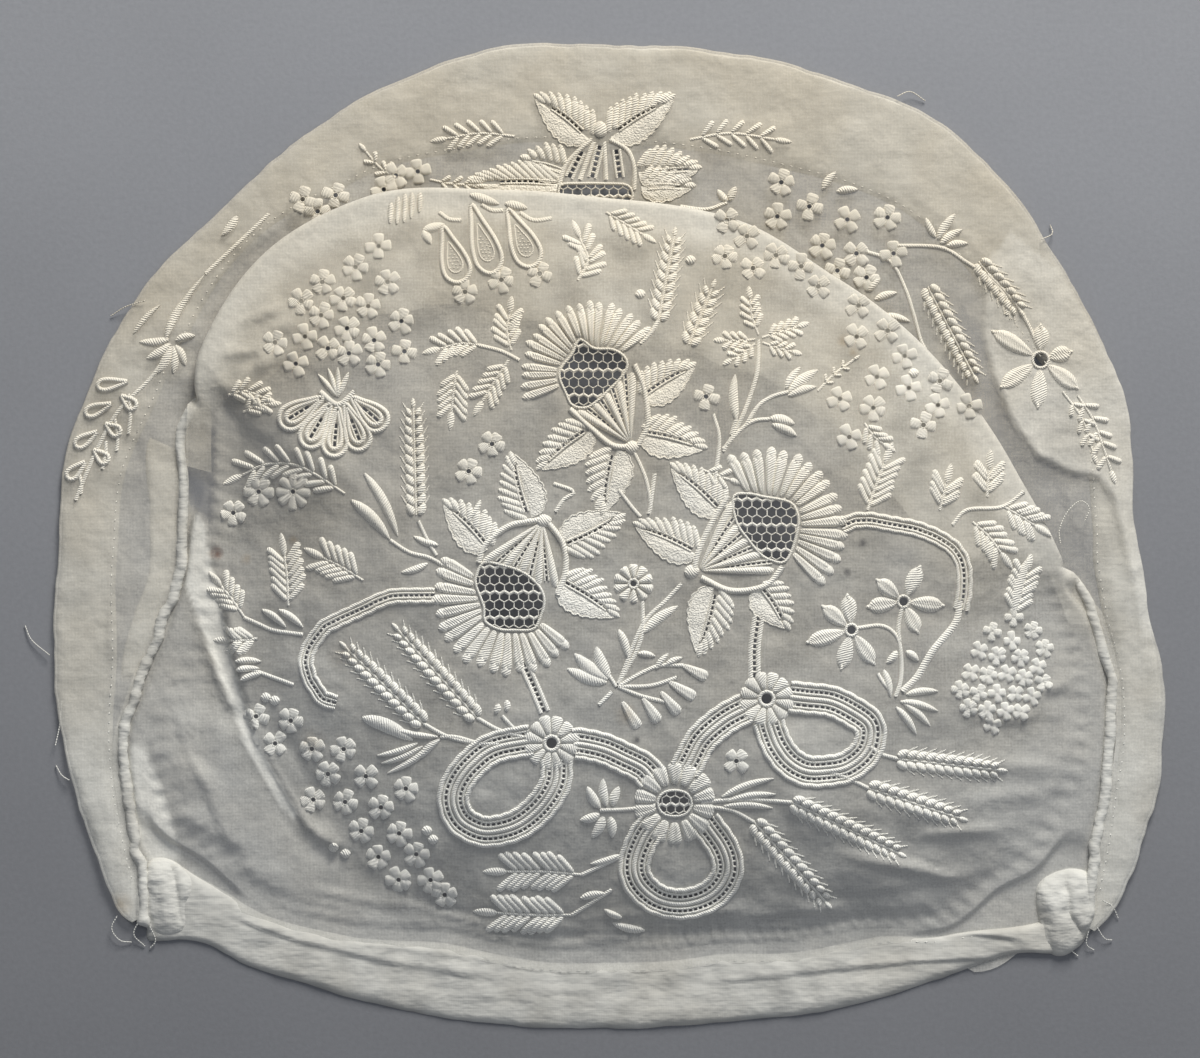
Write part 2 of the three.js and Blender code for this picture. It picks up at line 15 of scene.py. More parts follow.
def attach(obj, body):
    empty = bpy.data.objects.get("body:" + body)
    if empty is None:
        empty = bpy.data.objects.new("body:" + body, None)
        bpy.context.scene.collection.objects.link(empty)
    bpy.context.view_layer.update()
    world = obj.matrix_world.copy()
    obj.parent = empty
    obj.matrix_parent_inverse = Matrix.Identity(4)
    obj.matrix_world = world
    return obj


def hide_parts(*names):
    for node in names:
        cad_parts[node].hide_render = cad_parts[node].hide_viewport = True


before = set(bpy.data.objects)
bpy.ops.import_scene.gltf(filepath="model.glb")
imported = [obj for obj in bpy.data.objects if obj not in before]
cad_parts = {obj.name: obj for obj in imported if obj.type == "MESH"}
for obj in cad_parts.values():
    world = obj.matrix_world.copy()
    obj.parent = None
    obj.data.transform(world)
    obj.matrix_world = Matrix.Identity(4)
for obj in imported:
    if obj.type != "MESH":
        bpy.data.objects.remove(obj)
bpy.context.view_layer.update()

MM = 0.001
print("built pieces:", ", ".join(sorted(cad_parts)))

# %% [markdown]
# ## The embroidery chart and the view
# The flowers were charted as on squared paper laid over the cap. One step of that paper
# is a quarter of a millimetre on the cloth, x runs right and y runs down.
# looks straight down from far off, so that the raised crown isn't much enlarged.

# %% Chart steps and millimetres
CHART_STEP = 0.25  # mm on the cap
CHART_ZERO = (609, 537)  # the chart point over the origin
CHART_WIDE, CHART_TALL = 1200, 1058


def on_cap(points):
    """Chart points as millimetres on the table."""
    steps = np.asarray(points, float).reshape(-1, 2)
    return np.stack([steps[:, 0] - CHART_ZERO[0], CHART_ZERO[1] - steps[:, 1]], 1) * CHART_STEP


def place_on_cap(point):
    return on_cap(point)[0]


# %% The camera
CAMERA_HEIGHT = 1600.0  # mm
SENSOR = 36.0
camera_data = bpy.data.cameras.new("camera")
camera_data.sensor_width = SENSOR
camera_data.lens = SENSOR * CAMERA_HEIGHT / (CHART_WIDE * CHART_STEP)
camera_data.clip_end = 20
camera = bpy.data.objects.new("camera", camera_data)
bpy.context.scene.collection.objects.link(camera)
view_x, view_y = place_on_cap((CHART_WIDE / 2, CHART_TALL / 2))
camera.location = Vector((view_x, view_y, CAMERA_HEIGHT)) * MM
bpy.context.scene.camera = camera
print("lens", round(camera_data.lens, 1), "mm")

# %% [markdown]
# ## Finishes
# A finish is a small net of nodes. Writing one takes many near-equal lines, so a short helper
# class makes the nodes and joins them. The muslin is a real see-through cloth: its threads cover
# only part of the surface, so its alpha follows the weave. Cream age and stains are laid over it.

# %% A helper that makes nodes
class Finish:
    """One material, with short calls for the nodes that it needs."""

    def __init__(self, name, roughness, sheen=0.0):
        self.material = bpy.data.materials.new(name)
        self.material.use_nodes = True
        self.tree = self.material.node_tree
        self.shader = self.tree.nodes["Principled BSDF"]
        self.shader.inputs["Roughness"].default_value = roughness
        self.shader.inputs["Sheen Weight"].default_value = sheen
        self.shader.inputs["Specular IOR Level"].default_value = 0.25
        self.place = self.tree.nodes.new("ShaderNodeTexCoord").outputs["Object"]

    def put(self, socket, value):
        if isinstance(value, bpy.types.NodeSocket):
            self.tree.links.new(value, socket)
        else:
            socket.default_value = value

    def math(self, operation, first, second=0.0, third=0.0):
        node = self.tree.nodes.new("ShaderNodeMath")
        node.operation = operation
        for socket, value in zip(node.inputs, (first, second, third)):
            self.put(socket, value)
        return node.outputs[0]

    def within(self, value, low, high):
        return self.math("MINIMUM", self.math("MAXIMUM", value, low), high)

    def noise(self, size_mm, detail=3.0, stretch=(1, 1, 1), seed=0.0):
        """Soft noise from 0 to 1, with spots of about this size."""
        shift = self.tree.nodes.new("ShaderNodeMapping")
        self.put(shift.inputs["Vector"], self.place)
        shift.inputs["Location"].default_value = (seed, seed * 0.7, 0)
        shift.inputs["Scale"].default_value = stretch
        node = self.tree.nodes.new("ShaderNodeTexNoise")
        self.put(node.inputs["Vector"], shift.outputs[0])
        node.inputs["Scale"].default_value = 1 / (size_mm * MM)
        node.inputs["Detail"].default_value = detail
        return node.outputs["Fac"]

    def ramp(self, value, low, high, to_low=0.0, to_high=1.0):
        node = self.tree.nodes.new("ShaderNodeMapRange")
        for name, number in (("From Min", low), ("From Max", high), ("To Min", to_low), ("To Max", to_high)):
            node.inputs[name].default_value = number
        self.put(node.inputs["Value"], value)
        return node.outputs["Result"]

    def blend(self, factor, first, second, way="MIX"):
        node = self.tree.nodes.new("ShaderNodeMix")
        node.data_type = "RGBA"
        node.blend_type = way
        self.put(node.inputs["Factor"], factor)
        self.put(node.inputs["A"], first)
        self.put(node.inputs["B"], second)
        return node.outputs["Result"]

    def axis(self, name):
        node = self.tree.nodes.new("ShaderNodeSeparateXYZ")
        self.put(node.inputs[0], self.place)
        return node.outputs[name]

    def vector_math(self, operation, first, second):
        node = self.tree.nodes.new("ShaderNodeVectorMath")
        node.operation = operation
        self.put(node.inputs[0], first)
        node.inputs[1].default_value = second
        return node

    def level_place(self):
        """The place in plan, with no height."""
        return self.vector_math("MULTIPLY", self.place, (1, 1, 0)).outputs["Vector"]

    def distance(self, place, middle):
        return self.vector_math("DISTANCE", place, middle).outputs["Value"]

    def value_of(self, attribute):
        node = self.tree.nodes.new("ShaderNodeAttribute")
        node.attribute_name = attribute
        return node.outputs["Fac"]

    def colour(self, value):
        self.put(self.shader.inputs["Base Color"], value)

    def relief(self, height, strength, depth_mm):
        node = self.tree.nodes.new("ShaderNodeBump")
        node.inputs["Strength"].default_value = strength
        node.inputs["Distance"].default_value = depth_mm * MM
        self.put(node.inputs["Height"], height)
        self.put(self.shader.inputs["Normal"], node.outputs[0])


# %% Colours and stains
THREAD_PITCH = 0.36  # mm between the threads of the muslin
WHITE = (0.79, 0.775, 0.71, 1)
CREAM = (0.66, 0.60, 0.485, 1)
RUST = (0.20, 0.075, 0.03, 1)
TEA = (0.50, 0.36, 0.19, 1)
DARN = (0.05, 0.05, 0.06, 1)
# chart x, chart y, radius in mm, how strong, colour
MUSLIN_STAINS = [
    (217, 553, 2.2, 0.9, RUST),
    (295, 540, 1.6, 0.5, TEA),
    (247, 559, 1.8, 0.45, TEA),
    (842, 342, 2.0, 0.45, TEA),
    (852, 353, 1.6, 0.45, TEA),
    (343, 655, 4.5, 0.22, TEA),
    (313, 739, 4.0, 0.25, TEA),
    (626, 713, 3.4, 0.35, TEA),
    (700, 150, 7.0, 0.12, TEA),
    (120, 905, 4.0, 0.35, TEA),
    (860, 543, 1.5, 0.75, DARN),
    (845, 572, 1.3, 0.7, DARN),
    (636, 738, 1.3, 0.75, DARN),
]
COTTON_STAINS = [(700, 150, 7.0, 0.12, TEA), (120, 905, 4.0, 0.35, TEA)]
THREAD_STAINS = [(343, 655, 4.5, 0.22, TEA), (313, 739, 4.0, 0.25, TEA), (626, 713, 3.4, 0.35, TEA)]

# %% Weave and slubs
def weave(finish, pitch):
    """Threads both ways, from 0 to 1, a little uneven as hand-spun cotton is."""
    turn = 2 * math.pi / (pitch * MM)
    uneven = finish.math("MULTIPLY", finish.noise(2.5, 2), 7.0)
    both = [
        finish.math("SINE", finish.math("MULTIPLY_ADD", finish.axis(axis), turn, uneven))
        for axis in ("X", "Y")
    ]
    return finish.math("MULTIPLY_ADD", finish.math("ADD", *both), 0.25, 0.5)


def slubs(finish):
    """Thick and thin threads, as faint streaks both ways."""
    across = finish.noise(0.7, 1, stretch=(0.07, 1, 1), seed=3.1)
    down = finish.noise(0.7, 1, stretch=(1, 0.07, 1), seed=7.7)
    return finish.math("MULTIPLY_ADD", finish.math("ADD", across, down), 0.5, 0.0)

# %% Age and stains
def aged(finish, low_mm, high_mm, least, most):
    """White that turns to cream towards the face edge, in clouds."""
    gradient = finish.ramp(finish.axis("Y"), low_mm * MM, high_mm * MM, least, most)
    clouds = finish.ramp(finish.noise(28, 4), 0.35, 0.65, -0.18, 0.18)
    tint = finish.math("ADD", gradient, clouds)
    return finish.blend(finish.within(tint, 0.0, 1.0), WHITE, CREAM)


def stained(finish, colour, stains):
    """Small stains with ragged edges."""
    ragged = finish.noise(1.5, 2, seed=5.0)
    flat = finish.level_place()
    for (x, y, radius, strength, dye) in stains:
        away = finish.distance(flat, (*(place_on_cap((x, y)) * MM), 0))
        near = finish.ramp(away, 0.0, radius * MM, 2 * strength, 0.0)
        mark = finish.math("MULTIPLY", near, ragged)
        colour = finish.blend(finish.math("MINIMUM", mark, strength), colour, dye)
    return colour


# %% The sheer muslin
def sheer_muslin(name, cover, thick_cover):
    """Muslin whose threads hide this share of what lies behind it."""
    finish = Finish(name, roughness=0.85, sheen=0.12)
    threads = weave(finish, THREAD_PITCH)
    streaks = slubs(finish)
    grain = finish.noise(0.55, 2, seed=9.1)
    washed = finish.noise(11, 4, seed=6.2)
    colour = stained(finish, aged(finish, -70, 60, 0.02, 0.95), MUSLIN_STAINS)
    # where the cloth lies closer it turns whiter; along the crown's rolled fold this whitening is a painted
    # highlight
    closer_and_fold_highlight = finish.math("MULTIPLY", finish.value_of("thick"), 0.3)
    finish.colour(finish.blend(closer_and_fold_highlight, colour, WHITE))
    alpha = finish.math("MULTIPLY_ADD", threads, 0.20, cover - 0.10)
    # each noise: how much it adds, round its middle value of a half
    for source, share in ((streaks, 0.16), (grain, 0.24), (washed, 0.30)):
        alpha = finish.math("MULTIPLY_ADD", source, share, finish.math("SUBTRACT", alpha, share / 2))
    alpha = finish.math("MULTIPLY_ADD", finish.value_of("thick"), thick_cover, alpha)
    finish.put(finish.shader.inputs["Alpha"], finish.within(alpha, 0.05, 1.0))
    crumple = finish.math("MULTIPLY_ADD", finish.noise(2.4, 2, seed=1.7), 0.4, finish.noise(6.5, 2, seed=2.9))
    height = finish.math("MULTIPLY_ADD", threads, 0.03, crumple)
    finish.relief(height, 0.7, 0.9)
    return finish.material


MUSLIN = sheer_muslin("sheer_muslin", 0.46, 0.26)

# %% The cotton of bands, hem and seams
def close_cotton(name, least, most, crumple_mm, darkest):
    """Closely woven cotton that nothing shows through."""
    finish = Finish(name, roughness=0.9, sheen=0.1)
    threads = weave(finish, 0.42)
    colour = aged(finish, -80, 80, least, most)
    shade = finish.ramp(finish.noise(9, 5, seed=2.3), 0.3, 0.7, darkest, darkest + 0.2)
    grey = finish.blend(1.0, colour, shade, "MULTIPLY")
    finish.colour(stained(finish, grey, COTTON_STAINS))
    pulled = finish.noise(crumple_mm, 2, stretch=(0.45, 1.3, 1), seed=8.8)
    crumple = finish.math("MULTIPLY_ADD", finish.noise(crumple_mm, 2, seed=4.4), 0.6, pulled)
    finish.relief(finish.math("MULTIPLY_ADD", threads, 0.03, crumple), 0.6, 1.0)
    return finish.material


COTTON = close_cotton("close_cotton", 0.05, 0.75, 4.0, 0.58)
DOUBLED = close_cotton("doubled_cotton", 0.0, 0.4, 3.0, 0.64)

# %% Embroidery thread
STITCH_PITCH = 0.62  # mm from one laid thread to the next


def embroidery_thread(name, lightness):
    """Cotton thread laid side by side: the threads run across each padded shape."""
    finish = Finish(name, roughness=0.62, sheen=0.18)
    turn = 2 * math.pi / STITCH_PITCH
    wander = finish.math("MULTIPLY", finish.noise(1.6, 1, seed=6.6), 5.0)
    laid = finish.math("SINE", finish.math("MULTIPLY_ADD", finish.value_of("thread"), turn, wander))
    colour = aged(finish, -45, 62, 0.0, 0.95)
    tone = finish.ramp(finish.value_of("tone"), 0.0, 1.0, lightness - 0.07, lightness)
    seeding = finish.math("LESS_THAN", finish.value_of("thread"), 0.0)
    pebbles = finish.ramp(finish.noise(0.42, 1, seed=3.7), 0.38, 0.62, -1.0, 1.0)
    laid = finish.math("ADD", finish.math("MULTIPLY", laid, finish.math("SUBTRACT", 1.0, seeding)),
                       finish.math("MULTIPLY", pebbles, seeding))
    # the colour is each stitch's own tone, darkened a little between the laid threads and the seeding's
    # pebbles: painted shade in their furrows
    tone_and_furrow_shade = finish.math("MULTIPLY_ADD", laid, 0.06, tone)
    finish.colour(stained(finish, finish.blend(1.0, colour, tone_and_furrow_shade, "MULTIPLY"), THREAD_STAINS))
    fuzz = finish.noise(0.5, 2)
    finish.relief(finish.math("MULTIPLY_ADD", laid, 0.6, fuzz), 0.7, 0.2)
    return finish.material


THREAD = embroidery_thread("embroidery_thread", 1.13)
SEWING = embroidery_thread("sewing_thread", 0.93)
print("finishes:", ", ".join(m.name for m in (MUSLIN, COTTON, DOUBLED, THREAD, SEWING)))

# %% [markdown]
# ## The shape of the cloth
# The cap was measured as sections through one middle point: how far out the crown, its fold and
# the face edge lie at each angle. Smooth curves run through the rows of that table. The rows are
# the same as the plain model's, so that the cloth lies on it everywhere.

# %% Measured sections
CLOTH = 1.0
GAP = 0.3
PUFF_TOP = 17.0
MIDDLE = (4.0, -28.0)
FOLD_RADIUS = 1.5
LEAST_TURN, LEAST_TUCK = 2.4, 1.2
TUCK_HEIGHT = 4.2
FRONT_HEIGHT, FRONT_INNER_HEIGHT = 1.8, 2.5
HEM_THICK = 1.7
SEAM_WIDTH, SEAM_HEIGHT = 3.4, 3.2
# degrees, then mm: crown's edge, face edge, facing's width, tuck, edge height, skirt; fullness
SECTIONS = np.array([
    (-33, 113.5, 136, 8, 0, 1.8, 4, 2.6), (-27, 120, 138.5, 10, 0, 2.2, 4, 2.6),
    (-15, 122.5, 138, 12, 0, 2.4, 4, 2.8), (-5, 120, 135.5, 12, 0, 2.6, 4, 3),
    (5, 115, 131.5, 12, 0, 3.6, 4, 3), (10, 112.5, 131, 12, 2, 5.6, 4, 3.2),
    (15, 110.5, 132, 11, 20, 7.2, 4, 3.4), (25, 107.5, 139, 13, 26, 7.6, 4, 4),
    (40, 106.5, 145, 19, 29, 8, 4, 4), (60, 107, 153.5, 24, 28, 8, 4, 4),
    (75, 111, 152, 26, 34, 8, 4, 4), (90, 112.5, 151.2, 25, 35, 8, 4, 4),
    (105, 119, 154, 24, 34, 8, 4, 4), (120, 130.5, 152, 17, 31, 8, 4, 4),
    (132, 134, 149.5, 16, 22, 7.5, 4, 4), (145, 130, 150.5, 16, 14, 7.2, 7, 4),
    (152, 122, 149.5, 17, 0, 4.6, 9, 4), (160, 115, 148.5, 16, 0, 3.5, 9, 4),
    (170, 111, 144, 15, 0, 2.8, 6, 3.5), (180, 114, 143, 16, 0, 2.5, 12, 3),
    (190, 125, 143, 13, 0, 2.3, 28, 3), (200, 128, 142, 9, 0, 2.2, 38, 3),
    (207, 120, 143, 8, 0, 2, 32, 3), (214, 115, 130, 8, 0, 1.6, 26, 3),
    (225, 101.5, 117, 8, 0, 1.5, 14, 2.7), (240, 86, 105, 8, 0, 1.5, 5, 2.4),
    (255, 81.5, 97.5, 8, 0, 1.5, 4, 2.3), (270, 79, 94.8, 8, 0, 1.5, 4, 2.3),
    (285, 80, 96.5, 8, 0, 1.5, 4, 2.3), (300, 88, 104, 8, 0, 1.5, 4, 2.4),
    (311, 96, 111.5, 8, 0, 1.5, 4, 2.5), (320, 110, 121, 8, 0, 1.6, 4, 2.6),
])
# degrees, distance from the middle in mm
LEFT_SEAM = np.array([
    (153, 123.5), (160, 117), (170, 113), (176, 115), (184, 121.5),
    (191, 128), (198, 130.5), (205, 133), (210, 138),
])
RIGHT_SEAM = np.array([(-31.5, 133.5), (-26, 129.5), (-15, 124.5), (-5, 122), (5, 117), (10, 114.5)])
LEFT_TAPE = np.array([(156, 130), (164, 123.5), (171, 120.5), (176, 123), (183, 126)])

# %% Curves through the rows
def curve_through(at, value, x):
    """Smooth curve through points that doesn't overshoot them."""
    step = np.diff(value) / np.diff(at)
    left, right = np.r_[0, step], np.r_[step, 0]
    total = np.where(left + right == 0, 1, left + right)
    slope = np.where(left * right > 0, 2 * left * right / total, 0)
    i = np.clip(np.searchsorted(at, x, side="right") - 1, 0, len(at) - 2)
    span = at[i + 1] - at[i]
    t = (x - at[i]) / span
    rest = 1 - t
    ends = value[i] * rest * rest * (1 + 2 * t) + value[i + 1] * t * t * (3 - 2 * t)
    return ends + span * t * rest * (slope[i] * rest - slope[i + 1] * t)


def column(rows, number, closed=True):
    """A column of a table as a function of the angle in degrees."""
    at, value = rows[:, 0], rows[:, number]
    if closed:
        at = np.r_[at[-2:] - 360, at, at[:2] + 360]
        value = np.r_[value[-2:], value, value[:2]]

    def curve(deg):
        deg = np.asarray(deg, float)
        turned = rows[0, 0] + np.mod(deg - rows[0, 0], 360) if closed else deg
        return curve_through(at, value, np.clip(turned, at[0], at[-1]))

    return curve


edge_at, rim_at, band_at, tuck_at, rise_at, skirt_at, full_at = (column(SECTIONS, i) for i in range(1, 8))
left_seam_at = column(LEFT_SEAM, 1, closed=False)
right_seam_at = column(RIGHT_SEAM, 1, closed=False)
tape_outer_at = column(LEFT_TAPE, 1, closed=False)

# %% Soft steps, and places round the middle
def smooth(low, high, value):
    """0 below low, 1 above high, and a soft step between."""
    t = np.clip((np.asarray(value, float) - low) / (high - low), 0, 1)
    return t * t * (3 - 2 * t)


def up_and_down(value, rise_from, rise_to, fall_from, fall_to):
    """1 between two soft steps, and 0 beyond them."""
    return smooth(rise_from, rise_to, value) * (1 - smooth(fall_from, fall_to, value))


def mixed(first, second, t):
    return first + (second - first) * t


def spot(deg, radius):
    """x and y at an angle and a distance from the middle."""
    angle = np.radians(deg)
    return MIDDLE[0] + radius * np.cos(angle), MIDDLE[1] + radius * np.sin(angle)


def polar(x, y):
    """Angle, from -90 to 270 degrees, and distance from the middle."""
    away_x, away_y = x - MIDDLE[0], y - MIDDLE[1]
    deg = np.mod(np.degrees(np.arctan2(away_y, away_x)) + 90, 360) - 90
    return deg, np.hypot(away_x, away_y)


# %% [markdown]
# ## Folds and creases
# Worn muslin keeps the creases of folding and of old washings. Each one is a row in a table: where
# it runs, how wide it is and how far it stands up or sinks. A little smooth noise does the rest.

# %% Folds, creases and small unevenness
# mm: from x, y to x, y, width, height
FOLDS = [
    (-118, -50, -80, -84, 5, 1.6), (-116, -40, -72, -60, 6, 1.4), (-100, -28, -70, -80, 6, -0.7),
    (48, -66, 104, -72, 5, 1.5), (30, -84, 84, -84, 5, 1.2), (60, -56, 112, -46, 7, -0.9),
    (-60, -90, 10, -98, 5, 1.4), (-98, 34, -60, 10, 8, 1.4), (-60, 40, -20, 62, 9, -1.4),
    (20, 60, 60, 40, 9, -1.4),
]
# chart steps: from x, y to x, y; then mm: width, height
CREASES = [
    (830, 850, 995, 884, 1.6, 1.7), (905, 834, 1012, 827, 1.4, 1.4), (1035, 692, 1082, 679, 1.4, 1.3),
    (670, 925, 760, 900, 1.6, 0.8), (760, 900, 860, 912, 1.6, 0.9), (860, 920, 950, 914, 2.2, -0.9),
    (870, 925, 990, 922, 1.6, 0.8), (205, 348, 257, 357, 1.5, 1.5), (257, 357, 272, 371, 1.5, 1.2),
    (242, 325, 288, 307, 1.6, 1.4), (212, 372, 236, 398, 1.6, 1.1), (268, 330, 300, 326, 1.6, 0.9),
    (130, 720, 190, 790, 2.2, 0.8), (150, 740, 235, 800, 2.2, 0.9),
    (160, 800, 250, 850, 2.0, 0.8), (170, 850, 300, 880, 2.0, 0.8), (220, 870, 330, 900, 1.8, 0.7),
    (960, 390, 1060, 560, 3.5, 0.9), (930, 760, 1080, 770, 2.2, 0.9), (940, 800, 1085, 790, 2.0, 0.7),
    (440, 915, 640, 938, 1.8, 0.7), (300, 820, 420, 900, 2.6, 0.7), (700, 960, 900, 930, 1.6, 0.7),
    (228, 700, 330, 842, 2.4, -1.0), (218, 420, 222, 560, 1.6, 1.0), (222, 560, 246, 700, 1.8, 1.0),
    (800, 960, 1010, 900, 1.8, 0.8), (1000, 850, 1085, 835, 1.6, 0.9), (990, 900, 1040, 880, 1.5, 0.7),
]

# %% Height of a straight fold
def near_line(x, y, x0, y0, x1, y1):
    """Share along a straight line of its nearest place, and the distance to that place in mm."""
    along_x, along_y = x1 - x0, y1 - y0
    t = np.clip(((x - x0) * along_x + (y - y0) * along_y) / (along_x**2 + along_y**2), 0, 1)
    return t, np.hypot(x - x0 - t * along_x, y - y0 - t * along_y)


def ridge(x, y, row, fade_ends):
    """Height that one fold adds at x and y, all in mm."""
    *line, width, height = row
    t, away = near_line(x, y, *line)
    fade = np.sin(np.pi * np.clip(t, fade_ends, 1 - fade_ends))
    return height * fade * np.exp(-((away / width) ** 2))


def fold_height(x, y):
    return sum(ridge(x, y, row, 0.12) for row in FOLDS)


CREASES_MM = [(*on_cap(row[:4]).ravel(), *row[4:]) for row in CREASES]
print(len(FOLDS), "folds and", len(CREASES), "creases")

# %% Long bent creases, and strips that lie double or single
# x and y of chart points in turn; then mm: width, height
PLEAT_LINES = [
    ([228, 716, 247, 758, 266, 790, 286, 818, 304, 840, 330, 856], 2.2, -0.6),
    ([184, 584, 197, 619, 208, 648, 219, 676, 230, 702], 1.1, 1.1),
    ([219, 420, 217, 470, 219, 520, 213, 560], 1.2, 1.8),
    ([230, 400, 250, 372, 275, 362, 292, 352], 1.6, 0.9),
    ([1046, 524, 1060, 560, 1078, 600, 1088, 650], 1.8, 0.9),
    ([780, 985, 860, 960, 930, 925, 1010, 905], 1.5, 0.9),
    ([1090, 700, 1060, 760, 1050, 820, 1070, 860], 2.2, 0.8),
]
PLEATS_MM = [(on_cap(points), width, height) for points, width, height in PLEAT_LINES]
# where a narrow strip of the crown lies double
DOUBLED_STRIP = on_cap([
    194, 509, 189, 545, 184, 584, 197, 619, 208, 648, 219, 676, 230, 702, 242, 738,
    256, 768, 274, 798, 294, 822, 300, 815, 284, 788, 268, 757, 255, 724, 246, 702,
    235, 659, 224, 609, 213, 560, 206, 520,
])
# where it is padded beside the left seam
SEAM_PAD = on_cap([
    128, 742, 145, 743, 158, 768, 167, 791, 176, 820, 184, 861, 150, 866, 130, 830,
    124, 780,
])
# where it is drawn tight and lets the most light through
SINGLE_STRIP = on_cap([187, 425, 218, 425, 217, 480, 214, 530, 206, 520, 194, 508, 186, 500])

# %% Places beside a bent line
def line_place(x, y, path):
    """Distance in mm from points to a bent line, the side that they lie on and the share along it."""
    nearest = np.full(np.shape(x), 1e9)
    side, share = np.zeros(np.shape(x)), np.zeros(np.shape(x))
    for i, ((x0, y0), (x1, y1)) in enumerate(zip(path, path[1:])):
        t, away = near_line(x, y, x0, y0, x1, y1)
        closer = away < nearest
        nearest = np.where(closer, away, nearest)
        side = np.where(closer, np.sign((x1 - x0) * (y - y0) - (y1 - y0) * (x - x0)), side)
        share = np.where(closer, (i + t) / (len(path) - 1), share)
    return nearest, side, share


def share_inside(x, y, outline, fade):
    """One inside an outline and nought outside, with a soft edge this many mm wide."""
    away = line_place(x, y, np.vstack([outline, outline[:1]]))[0]
    return inside(outline, x, y) * smooth(0, fade, away)


# %% Laps, where one side of a line stands higher
# x and y of chart points in turn, with the higher cloth on their left; then mm: height, and how far
# it takes to sink
CROWN_LAPS = [
    ([213, 556, 224, 609, 235, 659, 246, 700, 259, 748, 278, 779, 293, 806, 307, 827, 322, 841,
      338, 847, 368, 852], 1.7, 4.5),
    ([139, 722, 152, 752, 167, 804, 182, 843, 210, 878, 236, 904, 280, 924], 1.2, 5),
    ([188, 432, 205, 386, 226, 360, 256, 354, 279, 367], 1.1, 4),
    ([196, 372, 214, 344, 246, 325, 290, 309], 1.0, 4),
    ([173, 705, 184, 748, 206, 791, 223, 835, 254, 878, 300, 906], 0.9, 5),
    ([240, 893, 330, 920, 440, 930, 560, 931], 0.8, 3.5),
    ([700, 926, 790, 914, 879, 910, 947, 912, 1011, 919, 1029, 923], 1.1, 3.5),
    ([918, 857, 955, 868, 988, 884], 0.8, 2.5),
    ([800, 890, 870, 893, 940, 880, 1010, 868], 0.7, 4),
    ([960, 720, 1010, 722, 1070, 716, 1090, 712], 0.6, 4),
]
HEM_LAPS = [
    ([760, 946, 820, 938, 911, 939, 979, 934, 1015, 939, 1038, 953], 0.8, 3),
    ([700, 985, 820, 971, 911, 962, 1002, 957], 0.7, 3),
    ([225, 915, 300, 942, 400, 965, 520, 982], 0.7, 3.5),
    ([330, 940, 450, 957, 600, 965, 740, 962], 0.5, 3),
]
# at the right the front piece is folded double up to this line
FRONT_FOLD = [
    983, 330, 992, 374, 1011, 422, 1037, 457, 1068, 472, 1098, 478, 1111, 496, 1120, 530,
]
FRONT_LAPS = [
    (FRONT_FOLD + [1133, 591, 1140, 640], 1.2, 3.5),
    ([1061, 486, 1070, 520, 1080, 560, 1090, 606], 0.9, 3),
    ([1095, 505, 1106, 560, 1112, 620, 1120, 690, 1118, 760], 1.0, 3),
    ([1138, 470, 1146, 560, 1150, 650, 1142, 750], 0.7, 3.5),
    ([900, 190, 960, 235, 1010, 290, 1028, 340], 0.6, 3),
    ([120, 560, 108, 620, 112, 680, 100, 740], 0.8, 3.5),
    ([60, 745, 80, 790, 95, 850, 112, 900], 0.7, 3),
    ([176, 345, 180, 400, 172, 470, 180, 530], 0.8, 3),
    ([135, 420, 150, 480, 140, 540], 0.6, 3),
    ([205, 300, 235, 262, 290, 222, 350, 192], 0.6, 3),
]


def lap_height(x, y, laps):
    """Folds that stand steep on one side of a bent line and sink slowly on the other."""
    height = 0.0
    for points, high, reach in laps:
        away, side, share = line_place(x, y, on_cap(points))
        fade = up_and_down(share, 0, 0.12, 0.85, 1)
        out = away * side
        height = height + high * fade * smooth(-0.4, 0.5, out) * np.exp(-np.maximum(out, 0) / reach)
    return height


def crease_height(x, y):
    short = sum(ridge(x, y, row, 0.03) for row in CREASES_MM)
    long = sum(high * np.exp(-((line_place(x, y, path)[0] / wide) ** 2)) for path, wide, high in PLEATS_MM)
    return short + long + lap_height(x, y, CROWN_LAPS)

# %% Small unevenness
def unevenness(x, y, size, seed):
    """Smooth noise from -1 to 1 with swellings about this size in mm."""
    values = np.random.default_rng(seed).uniform(-1, 1, (64, 64))
    u, v = np.asarray(x) / size + 500.3, np.asarray(y) / size + 500.7
    i, j = np.floor(u).astype(int), np.floor(v).astype(int)
    s, t = smooth(0, 1, u - i), smooth(0, 1, v - j)
    near = mixed(values[i % 64, j % 64], values[(i + 1) % 64, j % 64], s)
    far = mixed(values[i % 64, (j + 1) % 64], values[(i + 1) % 64, (j + 1) % 64], s)
    return mixed(near, far, t)


# mm high, mm long, seed
CROWN_WAVES = [(0.34, 9, 11), (0.22, 4.2, 12), (0.06, 1.9, 13)]
FRONT_WAVES = [(0.30, 7, 21), (0.16, 3, 22), (0.05, 1.7, 23)]


def layered(x, y, waves):
    """Unevenness of several sizes, one on the other."""
    return sum(high * unevenness(x, y, size, seed) for high, size, seed in waves)


# %% The crown's sections
def crown_lines(deg):
    """Brink, foot, rolled share and foot height of the crown's sections."""
    tuck = tuck_at(deg)
    rolled = smooth(0, 6, tuck)
    brink = edge_at(deg) - mixed(LEAST_TURN + LEAST_TUCK, FOLD_RADIUS + CLOTH / 2, rolled)
    skirt = skirt_at(deg)
    return brink, brink - skirt, rolled, rise_at(deg) + 0.06 * skirt


# %% Gathers, pleats and small lumps beside the seams
GATHER_PITCH = 2.1  # degrees from one gather to the next
GATHER_REACH = 4.0  # mm that the gathers run into the cloth
GATHER_HEIGHT = 0.45
